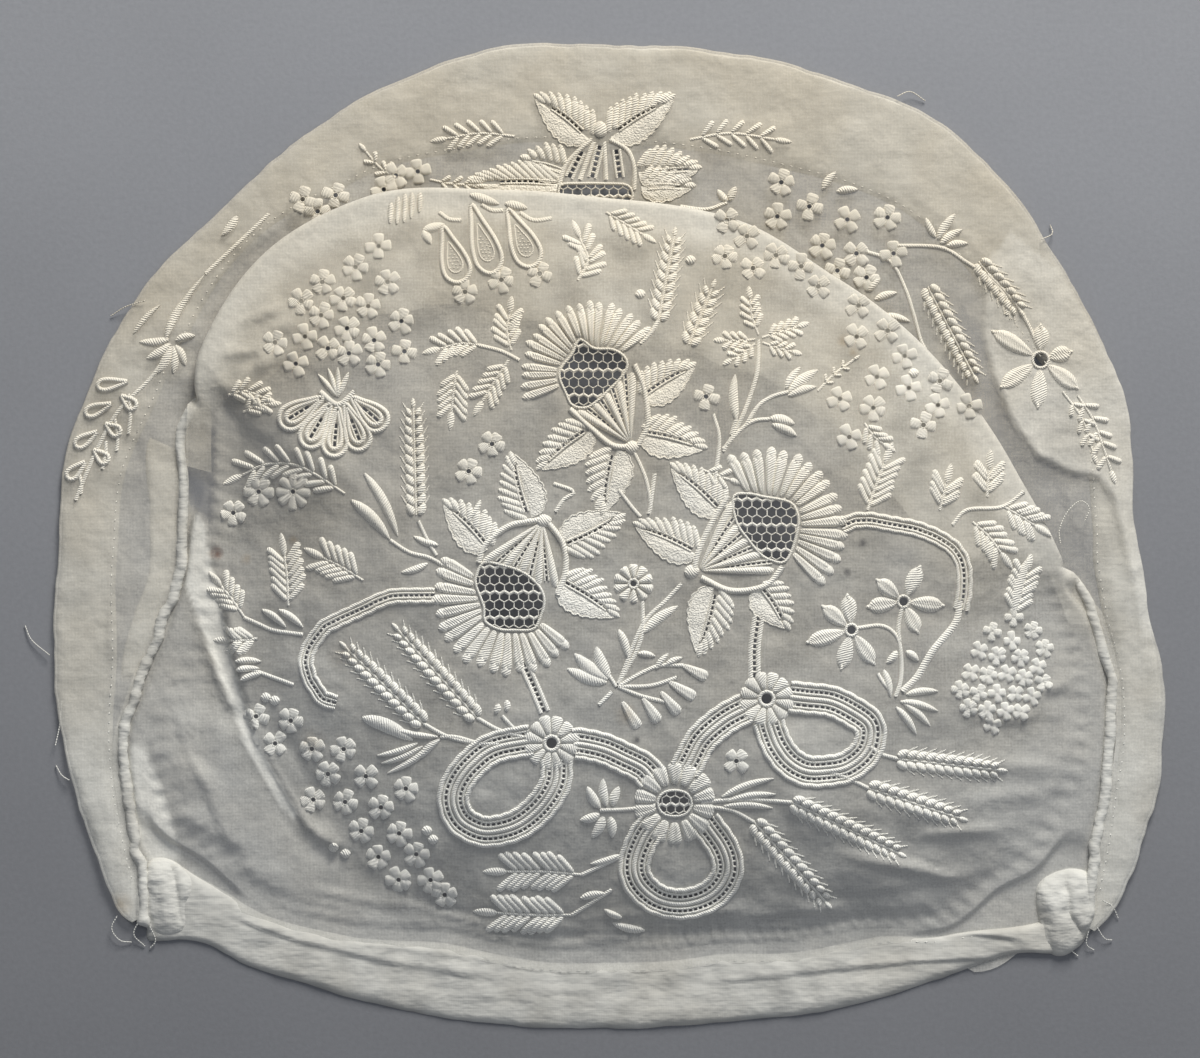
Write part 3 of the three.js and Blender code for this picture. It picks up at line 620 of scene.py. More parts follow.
# degrees where they begin, are full, begin to fade and end
LEFT_GATHERS = (151, 156, 208, 214)
LOW_LEFT, LOW_RIGHT = (186, 192, 208, 212), (-32, -28, -6, 0)
# mm from the hem, mm wide, seed
HEM_PLEATS = [(2.4, 0.7, 14), (5.2, 0.9, 15), (8.6, 1.2, 16)]


def gathers(deg, inward):
    """Pleats that fade away from a gathered seam or hem; inward is the distance from it in mm."""
    at_left = up_and_down(deg, *LEFT_GATHERS)
    at_right = 1 - smooth(8, 14, deg)
    strength = np.where(deg < 90, at_right, at_left) + 0.35 * (smooth(214, 222, deg) + (deg < -34))
    wave = np.sin(np.radians(deg) * 360 / GATHER_PITCH + 2.5 * np.sin(np.radians(deg * 7)))
    return GATHER_HEIGHT * strength * wave * np.exp(-np.maximum(inward, 0) / GATHER_REACH)


def hem_pleats(deg, inward):
    """Soft lines of cloth that lie along the hem; inward is the distance from it in mm."""
    at_hem = smooth(212, 224, deg) + 1 - smooth(-48, -38, deg)
    height = 0.0
    for place, width, seed in HEM_PLEATS:
        drift = 1.6 * unevenness(deg, deg * 0, 13, seed)
        strong = 0.45 + 0.45 * unevenness(deg, deg * 0, 17, seed + 4)
        height = height + strong * np.exp(-(((inward - place - drift) / width) ** 2))
    return height * at_hem


def quilting(x, y, deg, inward):
    """Small padded lumps beside the lower parts of the seams."""
    low_left, low_right = up_and_down(deg, *LOW_LEFT), up_and_down(deg, *LOW_RIGHT)
    near = up_and_down(inward, 0.5, 2.5, 6, 11)
    lumps = layered(x, y, [(0.5, 4.5, 18), (0.15, 2.2, 19)])
    return lumps * near * (low_left + 0.6 * low_right * (deg < 90))

# %% Height of the crown
def crown_height(x, y):
    """Height of the crown's cloth in mm, with its folds, creases and gathers."""
    deg, radius = polar(x, y)
    brink, foot, rolled, foot_height = crown_lines(deg)
    f = np.clip(radius / foot, 0, 1)
    folds = fold_height(x, y)
    puff = foot_height + (PUFF_TOP - foot_height) * (1 - f ** full_at(deg)) + folds * (1 - f**6)
    g = np.clip((radius - foot) / (brink - foot), 0, 1)
    low = mixed(foot_height, rise_at(deg), g) + np.maximum(folds, 0) * (1 - g) * (1 - rolled)
    calm = 1 - smooth(0.9, 1.0, radius / brink)
    small = layered(x, y, CROWN_WAVES)
    loose = smooth(50, 80, radius) * smooth(12, 25, deg) * (1 - smooth(150, 165, deg))
    small = small + 0.6 * loose * unevenness(x, y, 13, 17)
    inward = brink - radius
    fine = (crease_height(x, y) + small) * calm + gathers(deg, inward) * smooth(0, 2.5, inward)
    fine = fine + hem_pleats(deg, inward) + quilting(x, y, deg, inward)
    return np.where(radius < foot, puff, low) + fine

# %% Height of the front piece
def beside_seam(deg):
    """First clear distance outside a seam."""
    seam = np.where(deg > 90, left_seam_at(deg), right_seam_at(deg))
    return np.maximum(seam, edge_at(deg) + SEAM_WIDTH / 2 + GAP) + SEAM_WIDTH / 2 + GAP


def front_inner(deg):
    """Inner edge of the front piece: outside the seams, and under the crown's fold."""
    side = np.maximum(smooth(138, 146, deg), 1 - smooth(14, 22, deg))
    return mixed(edge_at(deg) - tuck_at(deg), beside_seam(deg) + CLOTH / 2, side)


def front_height(x, y):
    """Height of the front piece's cloth in mm."""
    deg, radius = polar(x, y)
    inner = front_inner(deg)
    f = np.clip((radius - inner) / (rim_at(deg) - GAP - inner), 0, 1)
    start = mixed(FRONT_HEIGHT, FRONT_INNER_HEIGHT, smooth(0, 12, tuck_at(deg)))
    height = mixed(start, FRONT_HEIGHT, smooth(0, 0.5, f))
    free = up_and_down(f, 0, 0.3, 0.6, 0.95)
    wave = 0.5 * free * (1 + np.sin(np.radians(deg * 15)))
    pulls = 0.22 * np.sin(np.radians(deg * 61)) * (1 - smooth(0.05, 0.5, f)) * (deg > 140)
    small = layered(x, y, FRONT_WAVES)
    small = small + lap_height(x, y, FRONT_LAPS) * (1 - smooth(0.9, 1, f))
    return height + wave + pulls + small * smooth(0, 0.1, f) * (1 - 0.5 * smooth(0.93, 1, f))


print("crown height at the middle:", float(np.round(crown_height(*MIDDLE), 2)), "mm")

# %% [markdown]
# ## Stitches
# The embroidery could be a picture on the cloth, but padded satin stitch stands up and throws
# shadows, so each stitch is a small raised surface. A few shapes make everything: a plump satin
# shape, a whipped cord, close seeding, a corded eyelet, a ladder of bars over a slot, and a net of
# bars over a window. Slots, windows and eyelets are kept in a list, because the cloth is cut there
# later.

# %% Paths and outlines
PATH_STEP = 0.9  # mm between the points of a cord


def run_along(path):
    """Distance from the start of a path to each of its points."""
    return np.r_[0, np.cumsum(np.hypot(*np.diff(path, axis=0).T))]


def path_at(places, own_places, path):
    """Points of a path at other places than its own."""
    return np.stack([np.interp(places, own_places, path[:, k]) for k in (0, 1)], 1)


def to_left(ahead):
    return np.array([-ahead[1], ahead[0]])


def smooth_path(points, step=PATH_STEP, closed=False):
    """A curve through points in mm, with its own points a step apart."""
    p = np.asarray(points, float)
    if closed:
        p = np.vstack([p[-1], p, p[0], p[1]])
    else:
        p = np.vstack([2 * p[0] - p[1], p, 2 * p[-1] - p[-2]])
    t = np.linspace(0, 1, 10, endpoint=False)[:, None]
    spans = [
        0.5 * (2 * b + (c - a) * t + (2 * a - 5 * b + 4 * c - d) * t**2 + (3 * b - a - 3 * c + d) * t**3)
        for a, b, c, d in zip(p, p[1:], p[2:], p[3:])
    ]
    dense = np.vstack([*spans, p[-2]])
    run = run_along(dense)
    return path_at(np.linspace(0, run[-1], max(3, int(run[-1] / step) + 1)), run, dense)


def sideways(path):
    """Unit vectors to the left of a path."""
    along = np.gradient(path, axis=0)
    along /= np.maximum(np.hypot(*along.T), 1e-9)[:, None]
    return np.stack([-along[:, 1], along[:, 0]], 1)


def inside(outline, x, y):
    """Which points lie inside a closed outline."""
    result = np.zeros(np.shape(x), bool)
    for (ax, ay), (bx, by) in zip(outline, np.roll(outline, -1, axis=0)):
        if ay == by:
            continue
        crosses = (ay > y) != (by > y)
        result ^= crosses & (x < (bx - ax) * (y - ay) / (by - ay) + ax)
    return result


# %% Directions, and faces between numbered points
SHORTEST = 0.3  # mm


def directions(base, tip):
    """Base, length, and unit vectors ahead and to the left."""
    base, tip = np.asarray(base, float), np.asarray(tip, float)
    length = max(np.hypot(*(tip - base)), SHORTEST)
    ahead = (tip - base) / length
    return base, length, ahead, to_left(ahead)


def heading_way(angle):
    """Unit vector at an angle in radians."""
    return np.array([math.cos(angle), math.sin(angle)])


def cells(number, closed=False):
    """Faces between the rows and columns of numbered points; closed rows come round to their start."""
    if closed:
        number = np.column_stack([number, number[:, 0]])
    corners = (number[:-1, :-1], number[1:, :-1], number[1:, 1:], number[:-1, 1:])
    return np.stack(corners, -1).reshape(-1, 4)


OTHER_WAY = [0, 3, 2, 1]  # the corners of a face, for its other side

# %% The needlework collector
SATIN_LIFT = 0.85  # mm that a padded shape stands up
CORD_WIDTH = 1.05
BAR_PITCH = 1.3
BAR_WIDTH = 0.5
NET_PITCH = 2.4
EDGE_SINK = 0.12  # mm that the rim of a stitch sinks into the cloth
# a blunt bar of satin: place along it, share of the width, share of the height
FINGER = np.array([
    (0.0, 0.5, 0.35), (0.06, 0.82, 0.75), (0.2, 0.96, 0.95), (0.42, 1.0, 1.0), (0.64, 1.0, 1.0),
    (0.82, 0.97, 0.95), (0.93, 0.82, 0.75), (1.0, 0.45, 0.3),
])


class Needlework:
    """Collects the stitches on one piece of cloth, and the openings cut in it."""

    def __init__(self, height_at, seed):
        self.height_at = height_at
        self.random = np.random.default_rng(seed)
        self.points, self.quads, self.threads, self.tones, self.openings = [], [], [], [], []
        self.total = 0

    def patch(self, x, y, lift, thread):
        """Adds one small surface, given as rows of points, lifted off the cloth."""
        x, y, lift, thread = np.broadcast_arrays(x, y, lift, thread)
        number = self.total + np.arange(x.size).reshape(x.shape)
        self.quads.append(cells(number)[:, OTHER_WAY])
        self.points.append(np.stack([x, y, lift], -1).reshape(-1, 3))
        self.threads.append(thread.ravel())
        self.tones.append(np.full(x.size, self.random.uniform()))
        self.total += x.size

    def satin(self, base, tip, width, lift=SATIN_LIFT, groove=0.0, lean=0.85, bend=0.0, blunt=0.55):
        """A plump shape between two points in mm; threads lie across it. A low blunt squares its ends."""
        base, length, ahead, left = directions(base, tip)
        t = np.linspace(0.015, 0.985, 8 if length > 2 else 6)[:, None]
        v = np.linspace(-1, 1, 7 if groove and length > 4 else 5)[None, :]
        swell = np.sin(np.pi * t**lean) ** blunt
        across = v * swell * width / 2 + bend * np.sin(np.pi * t) * length
        x = base[0] + ahead[0] * t * length + left[0] * across
        y = base[1] + ahead[1] * t * length + left[1] * across
        dome = np.sqrt(1 - 0.99 * v * v) * (1 - groove * np.exp(-((v / 0.2) ** 2)))
        self.patch(x, y, lift * dome * swell**0.5 - EDGE_SINK, t * length + 0.25 * v * width)

    def finger(self, base, tip, near, far, lift=SATIN_LIFT, groove=0.0, columns=5, fine=1.0):
        """A blunt padded bar between two points in mm, with its width near the base and at the tip."""
        base, length, ahead, left = directions(base, tip)
        t, shape, rise = (column[:, None] for column in FINGER.T)
        v = np.linspace(-1, 1, columns)[None, :]
        across = v * shape * mixed(near, far, t) / 2
        x = base[0] + ahead[0] * t * length + left[0] * across
        y = base[1] + ahead[1] * t * length + left[1] * across
        dome = np.sqrt(1 - 0.99 * v * v) * (1 - groove * np.exp(-((v / 0.24) ** 2)))
        self.patch(x, y, lift * dome * rise - EDGE_SINK, fine * (t * length + 0.25 * v * far))

    def cord(self, path, width=CORD_WIDTH, lift=0.5):
        """A whipped cord along a path in mm."""
        path = np.asarray(path, float)
        run = run_along(path)[:, None]
        v = np.linspace(-1, 1, 5)[None, :]
        out = sideways(path)
        across = v * width / 2
        x = path[:, :1] + out[:, :1] * across
        y = path[:, 1:] + out[:, 1:] * across
        self.patch(x, y, lift * np.sqrt(1 - 0.99 * v * v) - EDGE_SINK, run + 0.4 * v)

    def stem(self, points, width=CORD_WIDTH, **more):
        """A cord through chart points."""
        self.cord(smooth_path(on_cap(points)), width, **more)

    def bar(self, start, end, width=BAR_WIDTH, lift=0.3):
        """A short bar of thread from point to point in mm, over an opening."""
        ahead = np.asarray(end, float) - start
        length = max(np.hypot(*ahead), 0.05)
        left = to_left(ahead) / length
        t, v = np.array([[0.0], [1.0]]), np.array([[-1.0, 0.0, 1.0]])
        x = start[0] + ahead[0] * t + left[0] * v * width / 2
        y = start[1] + ahead[1] * t + left[1] * v * width / 2
        self.patch(x, y, lift * (1 - np.abs(v)) - 0.08, v * 0.3 + t * 0)

    def ground(self, first, second, lift=0.26):
        """Close seeding between two paths in mm of equal length: a low pebbled surface."""
        t = np.linspace(0, 1, 9)[:, None]
        x = mixed(first[:, 0], second[:, 0], t)
        y = mixed(first[:, 1], second[:, 1], t)
        edge = np.minimum(1, 6 * np.minimum(t, 1 - t))
        self.patch(x, y, (lift + 0.16 * unevenness(x, y, 0.62, 3)) * edge - 0.05, -1.0)

    def ladder(self, left, right, width=0.8):
        """A slot between two paths in mm, with a cord on each side and bars across."""
        count = max(len(left), len(right))
        even = np.linspace(0, 1, count)
        left, right = (path_at(even, np.linspace(0, 1, len(path)), path) for path in (left, right))
        self.openings.append(np.vstack([left, right[::-1]]))
        self.cord(left, width)
        self.cord(right, width)
        length = np.hypot(*np.diff((left + right) / 2, axis=0).T).sum()
        places = np.linspace(0, 1, max(2, int(length / BAR_PITCH)) + 1)[1:-1]
        for start, end in zip(path_at(places, even, left), path_at(places, even, right)):
            self.bar(start, end)

    def ladder_along(self, path, gap=1.6, width=0.8):
        """A ladder on both sides of a middle path in mm."""
        out = sideways(path)
        self.ladder(path + out * gap / 2, path - out * gap / 2, width)

    def eyelet(self, middle, radius, ring=0.8):
        """A round hole with a corded rim; middle and radius in mm."""
        angle = np.linspace(0, 2 * np.pi, 15)
        circle = np.stack([np.cos(angle), np.sin(angle)], 1)
        self.openings.append(middle + circle[:-1] * radius)
        self.cord(middle + circle * (radius + ring * 0.3), ring, lift=0.55)

    def net(self, outline, pitch=NET_PITCH):
        """A window filled with a honeycomb of bars; outline in mm."""
        window = smooth_path(outline, 1.2, closed=True)
        self.openings.append(window[:-1])
        low, high = window.min(0), window.max(0)
        side = pitch / math.sqrt(3)
        row_pitch = pitch * math.sqrt(3) / 2
        for row in range(int((high[1] - low[1]) / row_pitch) + 2):
            for place in range(int((high[0] - low[0]) / pitch) + 2):
                middle = low + np.array([(place + 0.5 * (row % 2)) * pitch, row * row_pitch])
                middle = middle + self.random.uniform(-0.12, 0.12, 2)
                for k in range(3):
                    turn = np.radians(30 + 60 * k + np.array([0, 60]))
                    ends = middle + side * np.stack([np.cos(turn), np.sin(turn)], 1)
                    centre = ends.mean(0)
                    if inside(window, *centre):
                        self.bar(ends[0], ends[1], 0.75 if row % 3 == 1 and k != 2 else 0.3, lift=0.4)
        self.cord(window, 0.7, lift=0.6)

    def seeds(self, outline, pitch=1.15, size=0.42):
        """Tiny scattered stitches inside an outline in mm."""
        low, high = outline.min(0), outline.max(0)
        xs = np.arange(low[0], high[0], pitch)
        ys = np.arange(low[1], high[1], pitch * 0.87)
        for j, y in enumerate(ys):
            for x in xs + (j % 2) * pitch / 2:
                here = np.array([x, y]) + self.random.uniform(-0.12, 0.12, 2)
                if inside(outline, *here):
                    self.satin(here - (size / 2, 0), here + (size / 2, 0.05), size * 0.9, 0.34)

    def make(self, name, finish):
        """The whole needlework as one mesh, laid on its cloth."""
        points = np.vstack(self.points)
        points[:, 2] += self.height_at(points[:, 0], points[:, 1])
        piece = mesh_piece(name, points, np.vstack(self.quads), finish)
        for title, values in (("thread", self.threads), ("tone", self.tones)):
            put_values(piece, title, np.concatenate(values))
        return piece


# %% Making a mesh piece
ROOT = "root"


def put_values(piece, title, values):
    """Stores one number for each point, for the finishes to read."""
    store = piece.data.attributes.new(title, "FLOAT", "POINT")
    store.data.foreach_set("value", np.asarray(values, np.float32))


def new_object(name, points_mm, faces, finish):
    """A mesh from points in mm, put in the scene."""
    mesh = bpy.data.meshes.new(name)
    mesh.from_pydata((np.asarray(points_mm, float) * MM).tolist(), [], faces)
    mesh.materials.append(finish)
    made = bpy.data.objects.new(name, mesh)
    bpy.context.scene.collection.objects.link(made)
    return made


def new_piece(name, points_mm, faces, finish):
    """A smooth mesh that rides with the cap."""
    piece = new_object(name, points_mm, faces, finish)
    piece.data.polygons.foreach_set("use_smooth", [True] * len(piece.data.polygons))
    piece.data.validate()
    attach(piece, ROOT)
    triangles = sum(len(p.vertices) - 2 for p in piece.data.polygons)
    print(f"{name}: {triangles} triangles")
    return piece


def mesh_piece(name, points_mm, faces, finish, face_up=True):
    """A piece whose faces are checked, and turned upwards where that is asked."""
    points = np.asarray(points_mm, float)
    faces = np.asarray(faces)
    if face_up:
        corner = points[faces[:, :3]]
        flat = np.cross(corner[:, 1, :2] - corner[:, 0, :2], corner[:, 2, :2] - corner[:, 0, :2])
        faces = np.where(flat[:, None] < 0, faces[:, ::-1], faces)
    return new_piece(name, points, faces.tolist(), finish)


# %% [markdown]
# ## Motifs
# Motifs are small recipes of those stitches: petals round a net for the large flowers,
# leaves that are half satin and half seeded with a ladder vein, ears of wheat, and so on.

# %% Leaves, half satin and half seeded
TOOTH_PITCH = 1.75  # mm between the satin teeth of a leaf
TOOTHED_SHARE = 0.86  # of the leaf's length; the rest is its tip
VEIN_HALF = 0.6


def split_leaf(work, points, width, side):
    """A leaf with a ladder vein, satin teeth on one side and close seeding on the other."""
    base, tip, *vein = on_cap(points)
    length = np.hypot(*(tip - base))
    ahead = (tip - base) / length
    left = to_left(ahead) * side

    def edge_point(s, reach):
        bow = math.sin(math.pi * min(max(s, 0.0), 1.0) ** 0.66) ** 0.85
        return base + ahead * s * length + left * reach * (VEIN_HALF / width + bow)

    teeth = max(5, int(TOOTHED_SHARE * length / TOOTH_PITCH))
    pitch = TOOTHED_SHARE * length / teeth
    for i in range(teeth):
        s = 0.02 + TOOTHED_SHARE * i / teeth
        start = base + ahead * s * length + left * VEIN_HALF
        end = edge_point(s + 0.19, width * work.random.uniform(0.94, 1.1))
        work.finger(start, end, pitch * 0.95, pitch * 1.05, lift=0.6)
        way = (end - start) / max(np.hypot(*(end - start)), 0.1)
        work.satin(end - way * 0.7, end + way * 0.9, pitch * 0.75, lift=0.45)
    work.satin(base + ahead * length * 0.84, tip + ahead * 1.1, 1.9, lift=0.6)
    count = max(10, int(length / 0.6))
    places = np.linspace(0.02, 0.97, count)
    notches = 1 + 0.13 * np.abs(np.sin(np.pi * teeth * places))
    spine = np.array([base + ahead * s * length - left * VEIN_HALF for s in places])
    seeded = np.array([edge_point(s + 0.02, -width * notch) for s, notch in zip(places, notches)])
    work.ground(spine, seeded)
    work.cord(seeded, 0.5, lift=0.4)
    bent = np.array([vein[0], np.mean(vein, 0) + left * 0.3, vein[1]])
    work.ladder_along(smooth_path(bent, 0.7), 1.15, 0.6)

# %% Bells of strips and ladders
def bell(work, net, apex, first, last, rays=9):
    """A fan of satin strips and ladders from a stem out to the edge of a net; chart points."""
    window = smooth_path(on_cap(net), 1.2, closed=True)
    apex, first, last = on_cap([apex, first, last])
    for i in range(rays):
        far_end = apex + (mixed(first, last, i / (rays - 1)) - apex) * 1.3
        steps = mixed(apex, far_end, np.linspace(0.25, 1, 80)[:, None])
        hits = steps[inside(window, steps[:, 0], steps[:, 1])]
        end = hits[0] if len(hits) else mixed(first, last, i / (rays - 1))
        if i % 2:
            slot = mixed(apex, end, np.array([[0.34], [0.65], [0.96]]))
            work.ladder_along(smooth_path(slot, 0.8), 0.95, 0.5)
        else:
            work.finger(mixed(apex, end, 0.04), end, 0.8, 2.5, lift=0.95)

# %% Leaf sprigs
def sprig(work, points, length, width, pairs, spread=42):
    """Slender leaves in pairs along chart points, with one at their end."""
    path = smooth_path(on_cap(points))
    work.cord(path, 0.75, lift=0.4)
    for i in np.linspace(0, len(path) - 1, pairs + 2)[1:-1].astype(int):
        ahead = path[min(i + 1, len(path) - 1)] - path[i - 1]
        heading = math.atan2(ahead[1], ahead[0])
        for side in (-1, 1):
            reach = length * work.random.uniform(0.9, 1.05)
            end = path[i] + reach * heading_way(heading + side * math.radians(spread))
            work.finger(path[i] + (end - path[i]) * 0.08, end, width * 0.7, width * 0.95, lift=0.7)
    ahead = path[-1] - path[-2]
    end = path[-1] + ahead / np.hypot(*ahead) * length * 0.9
    work.satin(path[-1], end, width, lift=0.6)

# %% Ears of wheat
GRAIN_PITCH = 2.3  # mm
GRAIN_LEAN, HAIR_LEAN = 26, 34  # degrees from the stem


def wheat_ear(work, ends):
    """A double row of plump grains with fine whiskers."""
    base, tip = on_cap(ends)
    length = np.hypot(*(tip - base))
    ahead = (tip - base) / length
    heading = math.atan2(ahead[1], ahead[0])
    count = max(5, int(length / GRAIN_PITCH))
    work.cord(smooth_path(np.array([base, (base + tip) / 2, tip])), 0.6, lift=0.35)
    for i in range(count):
        here = base + ahead * length * i / count
        size = 1 - 0.35 * smooth(0.55, 1.0, i / count)
        for side in (-1, 1):
            way = heading_way(heading + side * math.radians(GRAIN_LEAN))
            out = to_left(ahead) * side * 0.75
            work.satin(here + out, here + out + way * 3.2 * size, 2.1 * size, lift=0.9, blunt=0.45)
            hair = heading_way(heading + side * math.radians(HAIR_LEAN))
            for start in (1.6, 2.6):
                root = here + out + way * start * size
                work.cord(np.array([root, root + hair * 1.6, root + hair * 3.0 * size]), 0.36, 0.3)
    work.satin(tip - ahead * 0.6, tip + ahead * 2.0, 1.2, lift=0.6)


# %% Petals, small flowers and stars
def petal_ring(work, middle, inner, outer, count, start, end, fill=0.95, tips=0.0, **more):
    """Blunt petals round a middle in mm, side by side; inner is a number or a function of the angle."""
    step = math.radians(abs(end - start) / count)
    for i in range(count):
        deg = mixed(start, end, (i + 0.5) / count) + work.random.uniform(-1.2, 1.2)
        way = heading_way(math.radians(deg))
        near = inner(deg) if callable(inner) else inner
        far = outer * work.random.uniform(0.97, 1.03)
        work.finger(middle + way * near, middle + way * far, step * near * fill, step * far * fill, **more)
        if tips:
            work.satin(middle + way * (far - 1.3), middle + way * (far + tips), step * far * 0.78, lift=0.7)


FLOWER_HOLE = 0.62  # mm
LEAST_OPEN = 2.5  # mm: a flower of less radius is sewn without a hole


def small_flower(work, place, radius=3.25, petals=0):
    """Four or five plump petals round an eyelet; the smallest are closed."""
    middle = place_on_cap(place)
    hole = FLOWER_HOLE if radius > LEAST_OPEN else 0.0
    petals = petals or (4 if work.random.uniform() < 0.5 else 5)
    turn = work.random.uniform(0, 90)
    width = min(4.5 * radius / petals, 0.93 * radius)
    for i in range(petals):
        way = heading_way(math.radians(turn + 360 * i / petals + work.random.uniform(-7, 7)))
        reach = radius * work.random.uniform(0.92, 1.08)
        ends = (middle + way * hole, middle + way * reach)
        work.finger(*ends, 0.8 * width, width, 0.85, groove=0.4, fine=1.6)
    if hole:
        work.eyelet(middle, hole, 0.4)


def star_flower(work, middle, tips, hole=1.2, width=3.6):
    """Pointed grooved petals round an open eyelet; chart points."""
    middle = place_on_cap(middle)
    for tip in on_cap(tips):
        way = (tip - middle) / np.hypot(*(tip - middle))
        start = middle + way * (hole + 0.2)
        work.satin(start, tip, width * 1.12, groove=0.55, lean=1.4, blunt=0.48, lift=0.95)
        work.satin(tip - way * 1.0, tip + way * 0.7, 1.1, lift=0.6)
    work.eyelet(middle, hole)

# %% Ribbons and drops
RIBBON_WIDTH = 6.6
SCALLOP_PITCH = 3.1  # mm from one wave of a ribbon's edge to the next
RIBBON_STEP = 0.7  # mm between the points of a ribbon


def scallops(count):
    """Waves from 0 to 1 along a ribbon of this many points."""
    run = np.arange(count)[:, None] * RIBBON_STEP
    return np.abs(np.sin(run * math.pi / SCALLOP_PITCH))


def ribbon(work, points):
    """A band of three thick cords and two ladders along chart points, with waved edges."""
    path = smooth_path(on_cap(points), RIBBON_STEP)
    out = sideways(path)
    wave = 0.22 * scallops(len(path))
    for side in (-1, 1):
        quarter = path + out * side * RIBBON_WIDTH * 0.27
        work.ladder(quarter + out * 0.62, quarter - out * 0.62, 0.62)
        work.cord(path + out * side * (RIBBON_WIDTH / 2 + wave), 1.25, lift=0.8)
    work.cord(path, 1.15, lift=0.7)


def teardrop(work, ends, width, filled=True):
    """A corded drop, with a line of seeding in it; chart points, width in mm."""
    base, tip = on_cap(ends)
    ahead = tip - base
    left = to_left(ahead) / np.hypot(*ahead)
    t = np.array([0, 0.25, 0.55, 0.8, 0.95, 1.0])[:, None]
    bow = np.array([0, 0.22, 0.45, 0.5, 0.3, 0.0])[:, None] * width
    sides = np.vstack([base + ahead * t + left * bow, (base + ahead * t - left * bow)[-2:0:-1]])
    outline = smooth_path(sides, closed=True)
    work.cord(outline, 1.2, lift=0.8)
    if filled:
        core = smooth_path((base + ahead * 0.62) + (sides - base - ahead * 0.62) * 0.55, closed=True)
        work.cord(core, 0.5, lift=0.35)
        work.seeds((base + ahead * 0.65) + (sides - base - ahead * 0.65) * 0.45, 0.95, 0.5)


# %% The large flowers
def blossom(work, net, middle, petals, outer, start, end):
    """A net window with a half ring of grooved petals; the radius in mm."""
    outline = on_cap(net)
    middle = place_on_cap(middle)
    work.net(outline)
    rim = smooth_path(outline, 1.2, closed=True) - middle
    angles = np.degrees(np.arctan2(rim[:, 1], rim[:, 0]))
    order = np.argsort(angles)
    reach = np.hypot(*rim[order].T)

    def inner(deg):
        return float(np.interp(deg, angles[order], reach, period=360)) + 0.7

    grooved = {"groove": 0.45, "columns": 7, "lift": 1.0}
    petal_ring(work, middle, inner, outer - 0.9, petals, start, end, tips=1.5, **grooved)


# %% [markdown]
# ## The crown's embroidery
# The middle of the crown holds three large flowers on a tied ribbon, with ears of wheat, leaf
# sprigs and clusters of small flowers round them. It is written as short tables of chart points.

# %% Three large flowers
crown_work = Needlework(crown_height, 5)
# net outline; middle; petals, outer radius in mm, first and last angle
BLOSSOMS = [
    ([580, 341, 594, 350, 612, 351, 624, 358, 627, 368, 620, 380, 608, 392, 600, 400,
      586, 409, 572, 406, 566, 394, 560, 380, 561, 370, 572, 356], (593, 375), 19, 17.5, 205, 35),
    ([485, 562, 504, 565, 524, 572, 540, 586, 545, 600, 541, 616, 534, 628, 514, 629,
      500, 628, 486, 620, 485, 606, 477, 584, 478, 574], (511, 597), 17, 18.7, 145, 325),
    ([732, 497, 747, 494, 762, 497, 787, 502, 795, 512, 796, 527, 790, 550, 782, 562,
      770, 560, 760, 555, 747, 540, 735, 522], (765, 527), 17, 19.2, 122, -51),
]
for row in BLOSSOMS:
    blossom(crown_work, *row)

# Bells under the flowers: apex at the stem, both ends of the net's edge
BELLS = [
    ((630, 444), (578, 412), (632, 374)),
    ((543, 522), (488, 560), (556, 586)),
    ((698, 570), (731, 503), (772, 570)),
]
for (net, *_), row in zip(BLOSSOMS, BELLS):
    bell(crown_work, net, *row)
BELL_CORDS = [
    [570, 410, 592, 430, 612, 446, 630, 448], [634, 366, 644, 392, 647, 425, 638, 446],
    [480, 562, 486, 545, 510, 526, 540, 520], [548, 522, 563, 543, 566, 570, 558, 594],
    [727, 496, 711, 522, 697, 552, 693, 570], [781, 566, 764, 585, 730, 590, 700, 577],
]
for points in BELL_CORDS:
    crown_work.stem(points, 1.5, lift=0.9)

# %% Their leaves
# x and y of the base, tip and both ends of the vein; width in mm; side of the satin (1 is left)
SPLIT_LEAVES = [
    (590, 428, 540, 468, 584, 432, 548, 460, 4.2, -1),
    (640, 432, 703, 448, 646, 433, 692, 444, 4.2, 1),
    (640, 398, 692, 366, 646, 394, 684, 371, 4.0, 1),
    (614, 448, 602, 512, 612, 456, 604, 500, 4.6, -1),
    (530, 520, 512, 456, 527, 512, 515, 466, 4.6, 1),
    (492, 548, 447, 502, 486, 542, 456, 511, 4.2, -1),
    (562, 546, 622, 516, 568, 543, 612, 521, 4.4, -1),
    (560, 578, 616, 614, 566, 582, 607, 608, 4.6, 1),
    (722, 512, 672, 466, 716, 506, 680, 474, 4.2, -1),
    (698, 552, 636, 524, 691, 549, 646, 529, 4.2, -1),
    (716, 586, 698, 652, 714, 594, 701, 641, 4.6, 1),
    (758, 584, 786, 626, 761, 588, 780, 617, 4.2, 1),
]
for *points, width, side in SPLIT_LEAVES:
    split_leaf(crown_work, points, width, side)
print(len(SPLIT_LEAVES), "leaves")

# %% Buds and stems
BUDS = [(632, 448), (545, 521), (691, 571)]
for place in BUDS:
    middle = place_on_cap(place)
    crown_work.satin(middle - (1.9, 0.3), middle + (1.9, 0.3), 3.4, lift=1.1)
